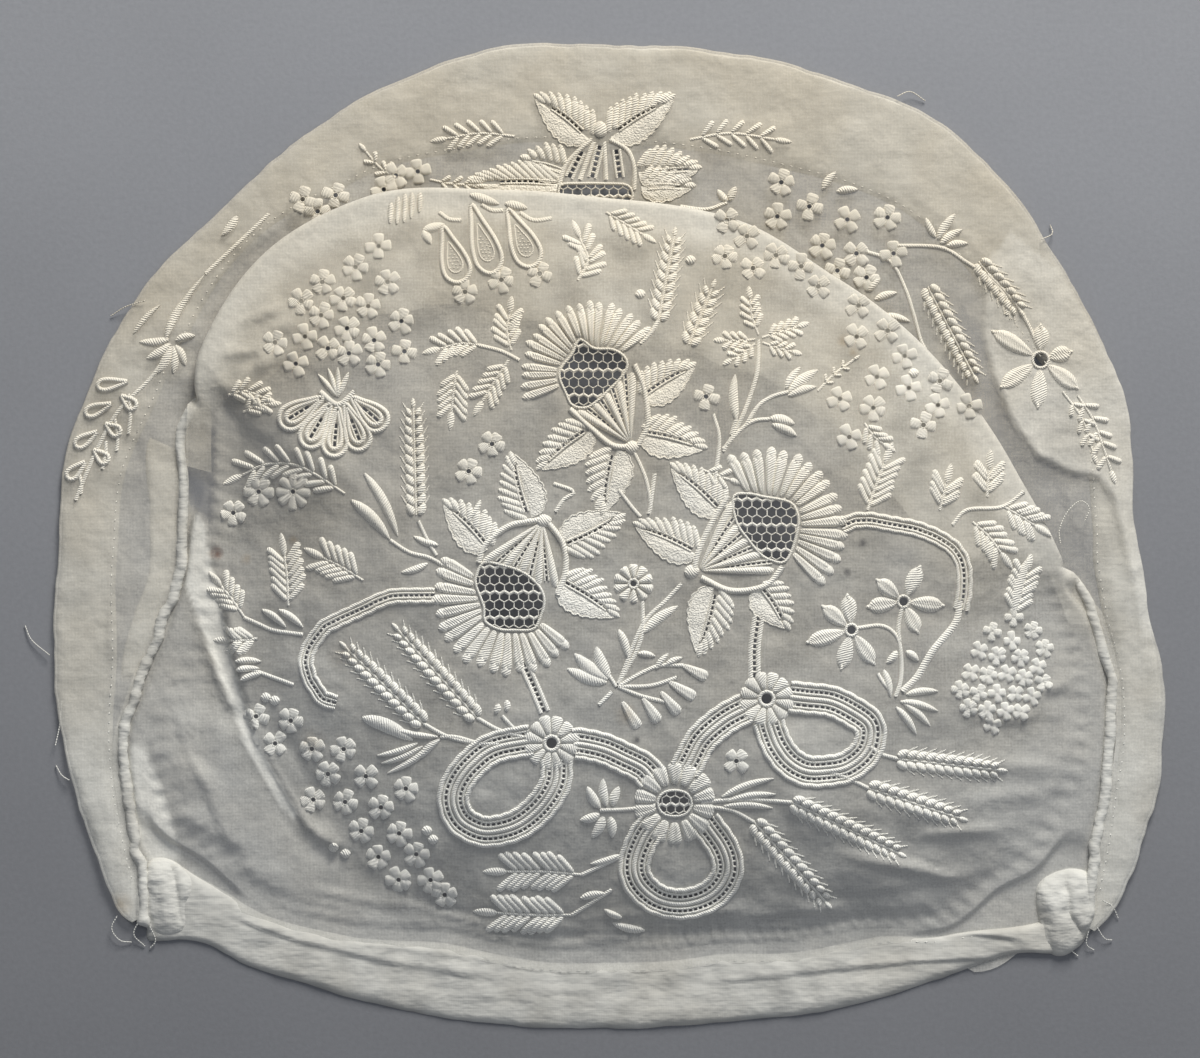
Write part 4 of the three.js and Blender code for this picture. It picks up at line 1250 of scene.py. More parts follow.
# x and y of each stem's points in turn
CROWN_STEMS = [
    [632, 450, 640, 466, 646, 482, 650, 505, 648, 514],
    [654, 474, 652, 490, 650, 505], [618, 490, 632, 508, 640, 517],
    [556, 512, 564, 500, 574, 492, 554, 484],
    [681, 583, 665, 600, 642, 624, 620, 678],
    [642, 600, 642, 630, 636, 650, 628, 665, 618, 682], [605, 668, 616, 685],
    [612, 690, 599, 703], [618, 685, 640, 672, 660, 664, 683, 664],
    [618, 685, 650, 684, 676, 676], [618, 685, 640, 694, 664, 700],
    [855, 627, 880, 625, 895, 637, 899, 660, 898, 680, 893, 695],
    [900, 605, 896, 625, 897, 640],
    [420, 521, 430, 542, 438, 555], [392, 540, 411, 552, 430, 557, 445, 565],
    [425, 722, 450, 735, 478, 741, 500, 742], [478, 716, 500, 728, 524, 735],
    [712, 415, 718, 440, 714, 480], [757, 341, 757, 357, 755, 377, 746, 405, 735, 430, 722, 452],
    [245, 617, 263, 625, 276, 630, 305, 634], [253, 669, 295, 684],
    [442, 735, 457, 735, 478, 741], [503, 714, 515, 727],
    [582, 873, 620, 855], [572, 914, 612, 888], [600, 808, 628, 807, 655, 803],
    [790, 800, 740, 797, 700, 800], [753, 820, 730, 808, 702, 804],
    [895, 757, 878, 752, 868, 745], [866, 786, 845, 776, 826, 769],
    [950, 525, 965, 510, 1000, 507, 1022, 492], [480, 347, 500, 352, 513, 358, 520, 362],
    [744, 427, 756, 408, 770, 398, 787, 393], [722, 450, 738, 432, 752, 422, 768, 420],
    [735, 420, 730, 436], [658, 322, 650, 335, 640, 345],
    [888, 690, 880, 680, 875, 672],
]
for points in CROWN_STEMS:
    crown_work.stem(points)

# %% Ribbons
RIBBONS = [
    [532, 738, 495, 746, 473, 762, 459, 780, 454, 798, 460, 816, 473, 826, 489, 830,
     513, 825, 531, 814, 547, 797, 556, 779, 557, 757],
    [574, 742, 582, 742, 604, 747, 624, 756, 642, 765, 652, 776],
    [745, 706, 723, 718, 701, 737, 690, 757, 684, 768],
    [788, 695, 805, 697, 829, 700, 850, 710, 866, 722, 868, 737, 862, 752, 845, 765,
     826, 769, 805, 769, 788, 760, 776, 745, 769, 728, 767, 720],
    [656, 818, 643, 836, 634, 862, 639, 882, 657, 898, 680, 903, 703, 898, 719, 886,
     727, 868, 722, 846, 704, 820],
]
for points in RIBBONS:
    ribbon(crown_work, points)
print(len(RIBBONS), "ribbons")

# %% Laddered stems and branches
LADDERED_STEMS = [[524, 662, 535, 686, 545, 710], [757, 615, 753, 646, 753, 676]]
for points in LADDERED_STEMS:
    crown_work.ladder_along(smooth_path(on_cap(points), 0.8), 1.9, 1.2)
# outer and inner cord of each
BRANCHES = [
    ([430, 587, 384, 588, 363, 600, 334, 612, 315, 623, 305, 638, 299, 652, 301, 671,
      305, 684, 322, 702, 338, 702],
     [443, 602, 411, 602, 388, 605, 361, 619, 338, 628, 322, 644, 313, 657, 318, 675,
      326, 694, 338, 702]),
    ([840, 520, 855, 514, 870, 514, 890, 517, 915, 522, 935, 530, 955, 542, 965, 555,
      967, 570, 965, 595, 960, 610],
     [838, 534, 850, 528, 865, 527, 882, 531, 910, 535, 930, 542, 945, 552, 954, 566,
      957, 580, 957, 598, 956, 608]),
]
EVEN = np.linspace(0, 1, 40)
for rows in BRANCHES:
    sides = []
    for points in rows:
        run = run_along(on_cap(points))
        sides.append(path_at(EVEN, run / run[-1], on_cap(points)))
    narrow = smooth_path(np.array(sides).mean(0), RIBBON_STEP)
    out = sideways(narrow)
    wave = 0.25 * scallops(len(narrow))
    crown_work.ladder_along(narrow, 1.2, 0.6)
    crown_work.cord(narrow + out * (1.45 + wave), 1.15, lift=0.75)
    crown_work.cord(narrow - out * (1.35 + wave * 0.6), 1.0, lift=0.6)
crown_work.stem([(957, 600), (953, 622), (930, 650), (915, 675), (900, 690)], 1.8, lift=0.7)

# %% Knots of the ribbons
KNOT_HOLE = 1.5
for place in [(552, 741), (765, 697)]:
    middle = place_on_cap(place)
    crown_work.eyelet(middle, KNOT_HOLE, 1.0)
    petal_ring(crown_work, middle, 2.3, 6.8, 12, 0, 360, groove=0.35)
KNOT_NET = [(657, 801), (662, 791), (674, 788), (686, 791), (691, 801), (686, 811), (674, 814), (662, 811)]
crown_work.net(on_cap(KNOT_NET), 2.2)
petal_ring(crown_work, place_on_cap((674, 801)), 4.8, 10.2, 14, 0, 360, groove=0.5, columns=7, lift=1.0)

# %% The daisy sprig in the middle
daisy = place_on_cap((633, 583))
petal_ring(crown_work, daisy, 1.4, 4.9, 10, 0, 360, 0.9)
crown_work.eyelet(daisy, 0.9)

# %% Plump single shapes
# x and y of base and tip on the chart, width in mm
CROWN_SHAPES = [
    (642, 632, 678, 605, 2.6), (618, 628, 628, 658, 2.2), (607, 681, 567, 667, 3.2),
    (608, 678, 574, 652, 3.4), (609, 677, 596, 645, 3.2), (500, 702, 496, 712, 1.8),
    (508, 698, 507, 710, 1.8), (895, 650, 884, 662, 2.0), (903, 650, 916, 660, 2.0),
    (353, 500, 392, 540, 3.0), (366, 473, 400, 537, 2.6), (263, 609, 288, 627, 1.9),
    (280, 609, 305, 627, 1.9), (440, 545, 415, 536, 1.8), (430, 563, 403, 572, 1.8),
    (580, 897, 606, 892, 2.0), (620, 853, 590, 862, 1.8), (622, 917, 604, 908, 1.8),
    (645, 930, 612, 922, 2.2), (1012, 615, 1027, 557, 3.4),
    (787, 393, 817, 371, 2.7), (786, 397, 815, 388, 2.2), (784, 390, 799, 368, 2.0),
    (768, 419, 793, 425, 2.6), (770, 425, 795, 437, 2.4), (735, 422, 734, 375, 2.4),
    (881, 668, 888, 696, 1.9), (903, 693, 936, 690, 1.9), (897, 700, 936, 710, 1.9),
    (893, 705, 914, 733, 1.9), (901, 702, 928, 725, 1.9), (420, 757, 442, 737, 2.0),
    (363, 716, 415, 739, 3.6), (440, 735, 384, 723, 1.6), (420, 741, 378, 754, 1.6),
    (425, 744, 382, 762, 1.6), (438, 739, 388, 772, 1.8), (637, 652, 655, 655, 1.6),
    (655, 668, 668, 652, 1.6), (664, 664, 682, 656, 1.6), (720, 795, 773, 776, 1.8),
    (725, 799, 775, 792, 1.8), (722, 804, 772, 806, 1.8), (600, 806, 587, 784, 2.6),
    (606, 804, 603, 776, 2.4), (612, 804, 619, 784, 2.4), (600, 812, 580, 818, 2.4),
    (604, 814, 592, 836, 2.6), (610, 814, 612, 836, 2.4), (482, 500, 470, 520, 1.4),
    (236, 661, 263, 661, 1.7), (236, 670, 261, 668, 1.7), (241, 680, 266, 672, 1.7),
]


def single_shapes(work, rows):
    for *ends, width in rows:
        work.satin(*on_cap(ends), width, bend=0.05)


single_shapes(crown_work, CROWN_SHAPES)
OPEN_DROPS = [
    (682, 664, 706, 676), (668, 680, 694, 696), (660, 690, 678, 712),
    (642, 696, 658, 720), (622, 700, 638, 726),
]
for ends in OPEN_DROPS:
    crown_work.finger(*on_cap(ends), 1.3, 3.5, lift=0.9, groove=0.3, columns=7)

# %% Ears of wheat and leaf sprigs
WHEAT = [
    (418, 515, 415, 407), (425, 722, 347, 646), (478, 716, 399, 628), (658, 322, 674, 236),
    (688, 346, 712, 288), (790, 800, 898, 852), (753, 820, 826, 902), (895, 757, 998, 769),
    (866, 786, 959, 817),
]
for ends in WHEAT:
    wheat_ear(crown_work, ends)
# x and y of the spine's points in turn, leaf length and width in mm, pairs
SPRIGS = [
    (482, 347, 462, 345, 442, 350, 5.4, 1.9, 5), (458, 372, 455, 392, 453, 412, 5.4, 1.9, 5),
    (510, 361, 496, 382, 484, 402, 5.0, 1.9, 5), (512, 352, 508, 334, 510, 316, 5.2, 1.9, 5),
    (290, 605, 289, 578, 286, 556, 6.6, 2.0, 6), (365, 580, 344, 567, 326, 558, 6.4, 2.0, 5),
    (245, 616, 234, 600, 222, 586, 5.4, 1.9, 4), (259, 638, 245, 640, 232, 640, 5.0, 1.9, 4),
    (347, 494, 318, 475, 295, 465, 267, 465, 244, 475, 6.2, 1.9, 8),
    (582, 873, 545, 870, 508, 870, 7.0, 2.1, 8), (572, 914, 535, 914, 498, 912, 7.0, 2.1, 8),
    (865, 510, 874, 484, 882, 464, 6.4, 2.0, 6), (937, 510, 941, 496, 944, 484, 5.8, 2.0, 4),
    (985, 497, 986, 482, 987, 470, 5.8, 2.0, 4), (1002, 507, 1018, 516, 1032, 525, 5.8, 2.0, 5),
    (970, 522, 986, 536, 998, 552, 5.8, 2.0, 5), (578, 282, 588, 262, 580, 240, 5.6, 1.9, 6),
    (606, 214, 626, 226, 642, 236, 4.6, 1.7, 5), (700, 470, 716, 476, 728, 480, 4.0, 1.7, 2),
    (230, 396, 247, 392, 264, 398, 4.4, 1.7, 4), (245, 413, 258, 406, 270, 405, 4.0, 1.7, 3),
    (1012, 615, 1018, 592, 1024, 572, 5.4, 2.0, 6), (862, 424, 872, 438, 880, 444, 4.4, 1.8, 3),
    (757, 336, 751, 318, 749, 301, 3.8, 1.7, 4), (754, 341, 739, 342, 724, 342, 3.4, 1.7, 3),
    (761, 339, 777, 334, 796, 328, 3.6, 1.7, 4), (754, 345, 743, 354, 731, 361, 3.1, 1.6, 3),
    (761, 344, 775, 349, 790, 353, 3.1, 1.6, 3), (816, 392, 833, 375, 852, 361, 2.2, 0.9, 3),
]
for *points, length, width, pairs in SPRIGS:
    sprig(crown_work, points, length, width, pairs)

# %% Clusters of small flowers
SMALL_FLOWERS = [
    (493, 445), (470, 472), (705, 398), (303, 303), (277, 344), (307, 338), (298, 365), (323, 317),
    (324, 284), (345, 300), (330, 350), (349, 330), (351, 355), (357, 269), (389, 284), (370, 308),
    (376, 342), (380, 366), (403, 323), (406, 353), (380, 248), (257, 716), (292, 720), (276, 743),
    (313, 748), (345, 748), (329, 773), (367, 775), (314, 799), (346, 801), (382, 806), (407, 787),
    (362, 830), (400, 832), (417, 853), (379, 856), (399, 879), (431, 879), (445, 894),
    (726, 222), (746, 238), (724, 258), (752, 270), (775, 257), (817, 288), (857, 307),
    (886, 332), (855, 338), (903, 357), (938, 382), (967, 407), (875, 378), (907, 389),
    (871, 409), (838, 400), (921, 426), (847, 438), (466, 294), (502, 282), (540, 276), (735, 759),
    (234, 513), (800, 268), (936, 406),
]
for place in SMALL_FLOWERS:
    small_flower(crown_work, place)
small_flower(crown_work, (260, 492), 4.0, 6)
small_flower(crown_work, (295, 492), 4.6, 8)
TINY_FLOWERS = [
    (1012, 617), (1031, 630), (990, 631), (1010, 640), (1043, 648), (977, 650), (995, 655), (1019, 657),
    (1036, 666), (968, 671), (986, 674), (1005, 673), (1022, 677), (1042, 682), (958, 689), (976, 692),
    (995, 692), (1013, 693), (1030, 696), (966, 707), (984, 709), (1003, 710), (1019, 711), (990, 724),
]
for place in TINY_FLOWERS:
    small_flower(crown_work, place, 2.35)

# %% Round knots like berries, and stars
BERRIES = [
    (267, 697), (276, 700), (428, 829), (434, 838), (334, 847), (346, 853), (640, 296), (690, 262),
    (912, 374),
]
for place in BERRIES:
    middle = place_on_cap(place)
    crown_work.satin(middle - (1.35, 0), middle + (1.35, 0.1), 2.5, lift=0.95, lean=1.0)
star_flower(crown_work, (901, 601), [(875, 580), (917, 567), (940, 605), (915, 631), (866, 606)])
star_flower(crown_work, (849, 629), [(845, 595), (821, 606), (806, 641), (839, 667), (871, 662)])

# %% The fan of loops and the seeded drops
LOOP_TIPS = [(283, 425), (308, 447), (336, 457), (365, 450), (387, 428)]
LOOP_ROOTS = [(326, 398), (333, 404), (340, 407), (347, 404), (353, 398)]
for root, tip in zip(LOOP_ROOTS, LOOP_TIPS):
    root, tip = np.array(root), np.array(tip)
    teardrop(crown_work, (root, tip), 6.0, filled=False)
    teardrop(crown_work, (mixed(root, tip, 0.1), mixed(root, tip, 0.86)), 3.2, filled=False)
    start, end = on_cap([root, tip])
    core = smooth_path(np.array([mixed(start, end, 0.35), mixed(start, end, 0.8)]), 0.8)
    crown_work.ladder_along(core, 1.2, 0.5)
crown_work.stem([(322, 393), (340, 406), (357, 393)], 1.6, lift=0.8)
for tip in [(320, 375), (330, 369), (340, 368), (351, 373)]:
    crown_work.satin(place_on_cap((340, 398)), place_on_cap(tip), 1.5)
for ends in [(444, 228, 462, 284), (472, 206, 494, 275), (508, 210, 534, 268)]:
    teardrop(crown_work, ends, 6.6)
for points in [[(440, 214), (450, 221), (462, 222)], [(482, 206), (492, 212), (504, 212)],
               [(520, 214), (534, 222), (552, 220)]]:
    crown_work.stem(points, 1.2)
# close bars that hang from the fold, left of the drops
for x, top, foot in [(392, 204, 225), (399, 198, 226), (406, 195, 224), (413, 194, 220), (421, 194, 214)]:
    crown_work.satin(place_on_cap((x, top)), place_on_cap((x - 1, foot)), 1.5, blunt=0.3)
DROP_LEAVES = [
    (424, 232, 446, 226), (424, 232, 432, 246), (470, 196, 500, 206), (505, 205, 528, 210),
]
for ends in DROP_LEAVES:
    crown_work.satin(*on_cap(ends), 2.4, lift=0.8)
print("crown:", len(crown_work.quads), "stitches,", len(crown_work.openings), "openings")

# %% [markdown]
# ## The front piece's embroidery
# The front piece carries one large flower at the top, whose lower half goes under the crown's
# fold, and sprays, stars and small flowers down both sides.

# %% The top flower and its sprays
front_work = Needlework(front_height, 9)
FRONT_NET = [(560, 186), (580, 184), (604, 184), (628, 186), (632, 200), (616, 208), (580, 208), (562, 202)]
front_work.net(on_cap(FRONT_NET), 2.3)
for points in [[(582, 152), (569, 178)], [(600, 146), (592, 178)], [(616, 150), (620, 178)]]:
    front_work.ladder_along(smooth_path(on_cap(points), 0.8), 1.7)
BELL_SIDES = [
    [592, 140, 580, 150, 565, 167, 559, 186], [610, 140, 627, 150, 634, 168, 634, 190],
    [594, 142, 580, 180], [604, 142, 606, 180],
]
for points in BELL_SIDES:
    front_work.stem(points, 1.2, lift=0.6)
bud = place_on_cap((600, 130))
front_work.satin(bud - (0, 2), bud + (0, 2.2), 4.0, lift=1.1)
FRONT_LEAVES = [
    (592, 138, 537, 97, 582, 132, 552, 108, 4.6, -1),
    (608, 136, 672, 97, 618, 130, 655, 107, 4.6, 1),
    (637, 170, 698, 168, 642, 176, 688, 170, 4.4, 1),
    (565, 168, 524, 158, 562, 172, 532, 164, 4.0, -1),
    (560, 182, 470, 182, 556, 184, 500, 182, 4.0, -1),
    (640, 184, 692, 186, 646, 188, 680, 188, 3.6, 1),
]
for *points, width, side in FRONT_LEAVES:
    split_leaf(front_work, points, width, side)
sprig(front_work, [(515, 137), (480, 134), (448, 139)], 5.0, 1.6, 5)
sprig(front_work, [(690, 140), (730, 134), (774, 140)], 5.0, 1.6, 5)
sprig(front_work, [(396, 178), (380, 168), (366, 152)], 3.0, 1.4, 2)
sprig(front_work, [(430, 180), (450, 184), (476, 186)], 3.0, 1.4, 3)

# %% Stars, sprigs and small flowers of the sides
FRONT_FLOWERS = [
    (781, 183), (777, 217), (809, 207), (847, 220), (887, 218), (822, 246), (856, 254), (893, 254),
    (837, 271), (303, 200), (318, 212), (336, 196), (396, 176), (418, 172), (384, 190), (866, 278),
]
for place in FRONT_FLOWERS:
    small_flower(front_work, place, 3.4)
FRONT_SHAPES = [
    (822, 190, 836, 172, 2.0), (836, 192, 858, 190, 2.0), (937, 240, 955, 214, 2.2),
    (940, 244, 962, 230, 2.2), (935, 238, 925, 218, 1.9), (946, 246, 968, 244, 1.9),
    (874, 300, 897, 293, 2.0), (880, 316, 910, 322, 2.0), (868, 292, 880, 278, 2.0),
    (727, 202, 717, 190, 2.0), (729, 202, 736, 187, 2.0), (166, 341, 183, 300, 1.6),
    (166, 341, 206, 274, 1.5), (134, 334, 161, 305, 1.5), (172, 344, 147, 359, 2.4),
    (172, 346, 158, 374, 2.4), (174, 346, 174, 374, 2.2), (176, 345, 186, 366, 2.2),
    (176, 341, 196, 336, 2.2), (170, 340, 140, 342, 2.2), (238, 216, 222, 236, 2.2),
]
single_shapes(front_work, FRONT_SHAPES)
FRONT_STEMS = [
    [893, 246, 940, 248, 965, 262, 987, 277, 1006, 299, 1006, 315],
    [987, 274, 1006, 293, 1024, 318, 1037, 346], [680, 207, 706, 210, 727, 203],
    [129, 394, 131, 414, 129, 434], [115, 419, 118, 436, 117, 451],
    [106, 441, 106, 455, 103, 469], [79, 473, 82, 484, 81, 494],
    [172, 350, 150, 380, 120, 410, 98, 448, 76, 500], [206, 274, 238, 244, 270, 214],
    [866, 252, 890, 262, 905, 290, 914, 318], [914, 318, 920, 340, 925, 350],
]
for points in FRONT_STEMS:
    front_work.stem(points)
SMALL_LOOPS = [
    (128, 382, 98, 386), (112, 404, 86, 414), (98, 432, 76, 446), (86, 462, 68, 478),
    (122, 396, 136, 408), (106, 424, 120, 434), (94, 450, 108, 462),
]
for ends in SMALL_LOOPS:
    teardrop(front_work, ends, 2.6, filled=False)
RIGHT_STAR = [(993, 332), (1001, 387), (1037, 407), (1076, 388), (1070, 352), (1040, 326)]
star_flower(front_work, (1040, 360), RIGHT_STAR, 1.8, 3.8)
wheat_ear(front_work, (927, 287, 974, 377))
wheat_ear(front_work, (978, 262, 1020, 312))
sprig(front_work, [(1077, 396), (1093, 421), (1102, 446), (1110, 470)], 4.2, 1.7, 5, 50)
sprig(front_work, [(1062, 392), (1082, 420), (1092, 452)], 3.6, 1.5, 3)
print("front:", len(front_work.quads), "stitches,", len(front_work.openings), "openings")

# %% [markdown]
# ## Cutting the cloth
# The muslin is one fine surface with its slots, windows and eyelets really cut out. A triangulation
# that keeps given edges does both at once: it fills the outline and leaves the openings' edges
# whole, and the triangles inside an opening are then dropped.

# %% Fill an outline with triangles, and drop the openings
CLOTH_PITCH = 1.15  # mm between the points of the cloth


def cut_cloth(outline, openings, keep):
    """Points in mm and triangles of a cloth; keep says which grid points lie well inside."""
    low, high = outline.min(0), outline.max(0)
    xs = np.arange(low[0], high[0], CLOTH_PITCH)
    ys = np.arange(low[1], high[1], CLOTH_PITCH * math.sqrt(3) / 2)
    grid_x, grid_y = np.meshgrid(xs, ys)
    grid_x = grid_x + (np.arange(len(ys)) % 2)[:, None] * CLOTH_PITCH / 2
    x, y = grid_x.ravel(), grid_y.ravel()
    good = keep(x, y)
    x, y = x[good], y[good]
    for opening in openings:
        near = np.all([x > opening[:, 0].min(), x < opening[:, 0].max(),
                       y > opening[:, 1].min(), y < opening[:, 1].max()], axis=0)
        found = np.flatnonzero(near)
        covered = found[inside(opening, x[found], y[found])]
        x, y = np.delete(x, covered), np.delete(y, covered)
    points, edges = [], []
    for loop in (outline, *openings):
        first = len(points)
        points += [Vector(p) for p in loop]
        edges += [(first + i, first + (i + 1) % len(loop)) for i in range(len(loop))]
    points += [Vector(p) for p in zip(x, y)]
    made = geometry.delaunay_2d_cdt(points, edges, [], 0, 1e-4, False)
    flat = np.array([tuple(p) for p in made[0]])
    triangles = np.array([f for f in made[2] if len(f) == 3])
    centre = flat[triangles].mean(1)
    kept = inside(outline, centre[:, 0], centre[:, 1])
    for opening in openings:
        low, high = opening.min(0), opening.max(0)
        near = np.flatnonzero(kept & np.all((centre > low) & (centre < high), axis=1))
        kept[near[inside(opening, centre[near, 0], centre[near, 1])]] = False
    return flat, triangles[kept]


# %% [markdown]
# ## The crown
# On the real cap the crown is a large curved piece of sheer muslin, drawn up at the sides and let
# down in front over itself in a wide tuck. The surface up to the brink comes from the triangles,
# and rings of points then roll it over the fold and back under.

# %% The crown's cloth up to its brink
FOLD_COLUMNS = 480
ROLL_STEPS, TUCK_STEPS = 7, 12
around = np.arange(FOLD_COLUMNS) * 360 / FOLD_COLUMNS
brink, _, rolled, _ = crown_lines(around)
crown_outline = np.stack(spot(around, brink), 1)
flat, crown_faces = cut_cloth(
    crown_outline,
    crown_work.openings,
    lambda x, y: polar(x, y)[1] < crown_lines(polar(x, y)[0])[0] - 0.5 * CLOTH_PITCH,
)
crown_points = np.column_stack([flat, crown_height(flat[:, 0], flat[:, 1])])
thick = np.zeros(len(crown_points))
print("crown:", len(crown_faces), "triangles up to the brink")

# %% How far the tuck goes back under
tuck = tuck_at(around)
turn = np.maximum(rolled * math.pi * FOLD_RADIUS, LEAST_TURN)
INTO_SEAM = 1.7  # mm that the cloth's edge runs into a seam or hem
tuck_length = mixed(LEAST_TUCK + INTO_SEAM * (1 - rolled), tuck, smooth(6, 16, tuck))
tuck_length = tuck_length + 2.2 * rolled * unevenness(around, around * 0, 8, 32)
# beside the seams it reaches into them, and at the lower corners it goes under the wads
signed = np.where(around > 180, around - 360, around)
LEFT_SEWN, RIGHT_SEWN = (158, 166, 210, 214), (-46, -39, 4, 9)  # degrees
at_left, at_right = up_and_down(around, *LEFT_SEWN), up_and_down(signed, *RIGHT_SEWN)
to_seam = at_left * left_seam_at(around) + at_right * right_seam_at(signed) - (at_left + at_right) * brink
low_corner = np.maximum(at_left * smooth(198, 204, around), at_right * (1 - smooth(-27, -22, signed)))
tuck_length = np.maximum(tuck_length, np.clip(to_seam, 0, 14))
drop = np.maximum(rise_at(around) - 2 * FOLD_RADIUS - TUCK_HEIGHT, 0)
whole = math.pi - np.arcsin(np.minimum(drop / tuck_length, 0.5))
print("tuck", round(float(tuck_length.min()), 1), "to", round(float(tuck_length.max()), 1), "mm")

# %% Round the fold and back under it, ring by ring
heights = crown_height(*crown_outline.T)
radius, height = brink.copy(), heights.copy()
rings = [np.column_stack([crown_outline, heights])]
for step in range(ROLL_STEPS + TUCK_STEPS):
    rolling = step < ROLL_STEPS
    heading = rolled * whole * (step + 0.5) / ROLL_STEPS if rolling else rolled * whole
    advance = turn / ROLL_STEPS if rolling else tuck_length / TUCK_STEPS
    radius = radius + advance * np.cos(heading)
    height = height - advance * np.sin(heading)
    x, y = spot(around, radius)
    ripple = 0 if rolling else 0.25 * rolled * unevenness(x, y, 8, 31)
    height = height - low_corner * (height - 0.4) * smooth(0, 2.5, radius - brink)
    sewn_down = (at_left + at_right) * smooth(0.45, 1, (radius - brink) / np.maximum(to_seam, 1))
    height = height - sewn_down * np.maximum(height - 0.9, 0)
    rings.append(np.column_stack([x, y, np.maximum(height + ripple, 0.35)]))
first = len(crown_points)
strip = np.arange(len(rings) * FOLD_COLUMNS).reshape(len(rings), FOLD_COLUMNS) + first
quads = cells(strip, closed=True)
strip_faces = np.vstack([quads[:, [0, 1, 2]], quads[:, [0, 2, 3]]])
crown_points = np.vstack([crown_points, *rings])

# %% Where the crown's cloth lies closer, with a painted highlight along its fold
ring_number = np.repeat(np.arange(len(rings)), FOLD_COLUMNS)
last_rings = np.clip((len(rings) - 1 - ring_number) / 1.5, 0, 1)
thick = np.r_[thick, np.tile(rolled, len(rings)) * np.clip((ring_number - 2) / 4, 0, 1) * last_rings]
# along the fold it lies closest, and the whiter colour this gives there is a painted highlight on the rolled
# fold edge
all_deg, all_radius = polar(crown_points[:, 0], crown_points[:, 1])
all_brink, _, all_rolled, _ = crown_lines(all_deg)
thick = thick + 0.9 * all_rolled * (1 - smooth(1, 10, all_brink - all_radius))
# inside the ribbon's loops the threads are drawn closer: chart middle, half width, half height
LOOP_FILLS = [(497, 795, 33, 31), (817, 736, 45, 26), (681, 867, 33, 36)]
turning = np.linspace(0, 2 * np.pi, 24, endpoint=False)
loops = [on_cap(np.column_stack([x + wide * np.cos(turning), y + tall * np.sin(turning)]))
         for x, y, wide, tall in LOOP_FILLS]
# outline, change, and how wide its edge is in mm
changed = [(SINGLE_STRIP, -1.1, 0.7), (DOUBLED_STRIP, 1.7, 0.7), (SEAM_PAD, 1.6, 1.5)]
changed += [(loop, 0.45, 1.5) for loop in loops]
for outline, amount, fade in changed:
    thick = thick + amount * share_inside(crown_points[:, 0], crown_points[:, 1], outline, fade)

WELD_GAP = 0.002  # mm


def weld(piece):
    """Joins points that lie in one place."""
    body = bmesh.new()
    body.from_mesh(piece.data)
    bmesh.ops.remove_doubles(body, verts=body.verts, dist=WELD_GAP * MM)
    bmesh.ops.recalc_face_normals(body, faces=body.faces)
    body.to_mesh(piece.data)
    body.free()


crown_faces = np.vstack([crown_faces, strip_faces])
crown = mesh_piece("crown_cloth", crown_points, crown_faces, MUSLIN, face_up=False)
put_values(crown, "thick", thick)
weld(crown)
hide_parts("crown")
crown_embroidery = crown_work.make("crown_embroidery", THREAD)

# %% [markdown]
# ## The front piece
# The front piece is a long shaped band of the same muslin. Its outer edge is the face edge, which
# is turned over the facing in a soft fold, and its inner edge goes under the crown.

# %% The front piece's cloth
FRONT_FROM, FRONT_TO = -31, 209
FRONT_COLUMNS = 420
EDGE_STEPS = 5
EDGE_RADIUS = 0.62
front_deg = np.linspace(FRONT_FROM, FRONT_TO, FRONT_COLUMNS)
UNDER_FOLD = 5.0  # mm that it lies under the ends of the crown's fold


RIM_WAVES = [(0.45, 11, 91), (0.22, 3, 92)]


def worn_rim(deg):
    """The face edge, a little uneven as a washed and pulled edge is."""
    x, y = spot(deg, rim_at(deg))
    return rim_at(deg) - GAP - EDGE_RADIUS + layered(x, y, RIM_WAVES)


def sewn_inner(deg):
    """Its inner edge, in the seams and under the crown's fold."""
    near_fold = ((deg > 138) & (deg < 157)) | ((deg > 3) & (deg < 22))
    in_seam = front_inner(deg) - INTO_SEAM * np.maximum(smooth(138, 150, deg), 1 - smooth(8, 22, deg))
    return np.where(near_fold, np.minimum(in_seam, edge_at(deg) - UNDER_FOLD), in_seam)


face_edge = worn_rim(front_deg)
outer_line = np.stack(spot(front_deg, face_edge), 1)
inner_line = np.stack(spot(front_deg, sewn_inner(front_deg)), 1)

# %% The front piece's muslin and its turned edge
def well_inside_front(x, y):
    deg, radius = polar(x, y)
    margin = 0.5 * CLOTH_PITCH
    within = (radius > sewn_inner(deg) + margin) & (radius < worn_rim(deg) - margin)
    return within & (deg > FRONT_FROM + 0.3) & (deg < FRONT_TO - 0.3)


front_outline = np.vstack([outer_line, inner_line[::-1]])
flat, front_faces = cut_cloth(front_outline, front_work.openings, well_inside_front)
front_points = np.column_stack([flat, front_height(flat[:, 0], flat[:, 1])])
edge_height = front_height(*outer_line.T)
rings = [np.column_stack([outer_line, edge_height])]
for step in range(1, EDGE_STEPS + 1):
    turn_angle = math.pi * step / EDGE_STEPS
    x, y = spot(front_deg, face_edge + EDGE_RADIUS * math.sin(turn_angle))
    rolled_height = np.maximum(edge_height - EDGE_RADIUS * (1 - math.cos(turn_angle)), 0.06)
    rings.append(np.column_stack([x, y, rolled_height]))
first = len(front_points)
strip = np.arange(len(rings) * FRONT_COLUMNS).reshape(len(rings), FRONT_COLUMNS) + first
quads = cells(strip)
strip_faces = np.vstack([quads[:, [0, 1, 2]], quads[:, [0, 2, 3]]])
front_points = np.vstack([front_points, *rings])
front_faces = np.vstack([front_faces, strip_faces])
front = mesh_piece("front_cloth", front_points, front_faces, MUSLIN, face_up=False)

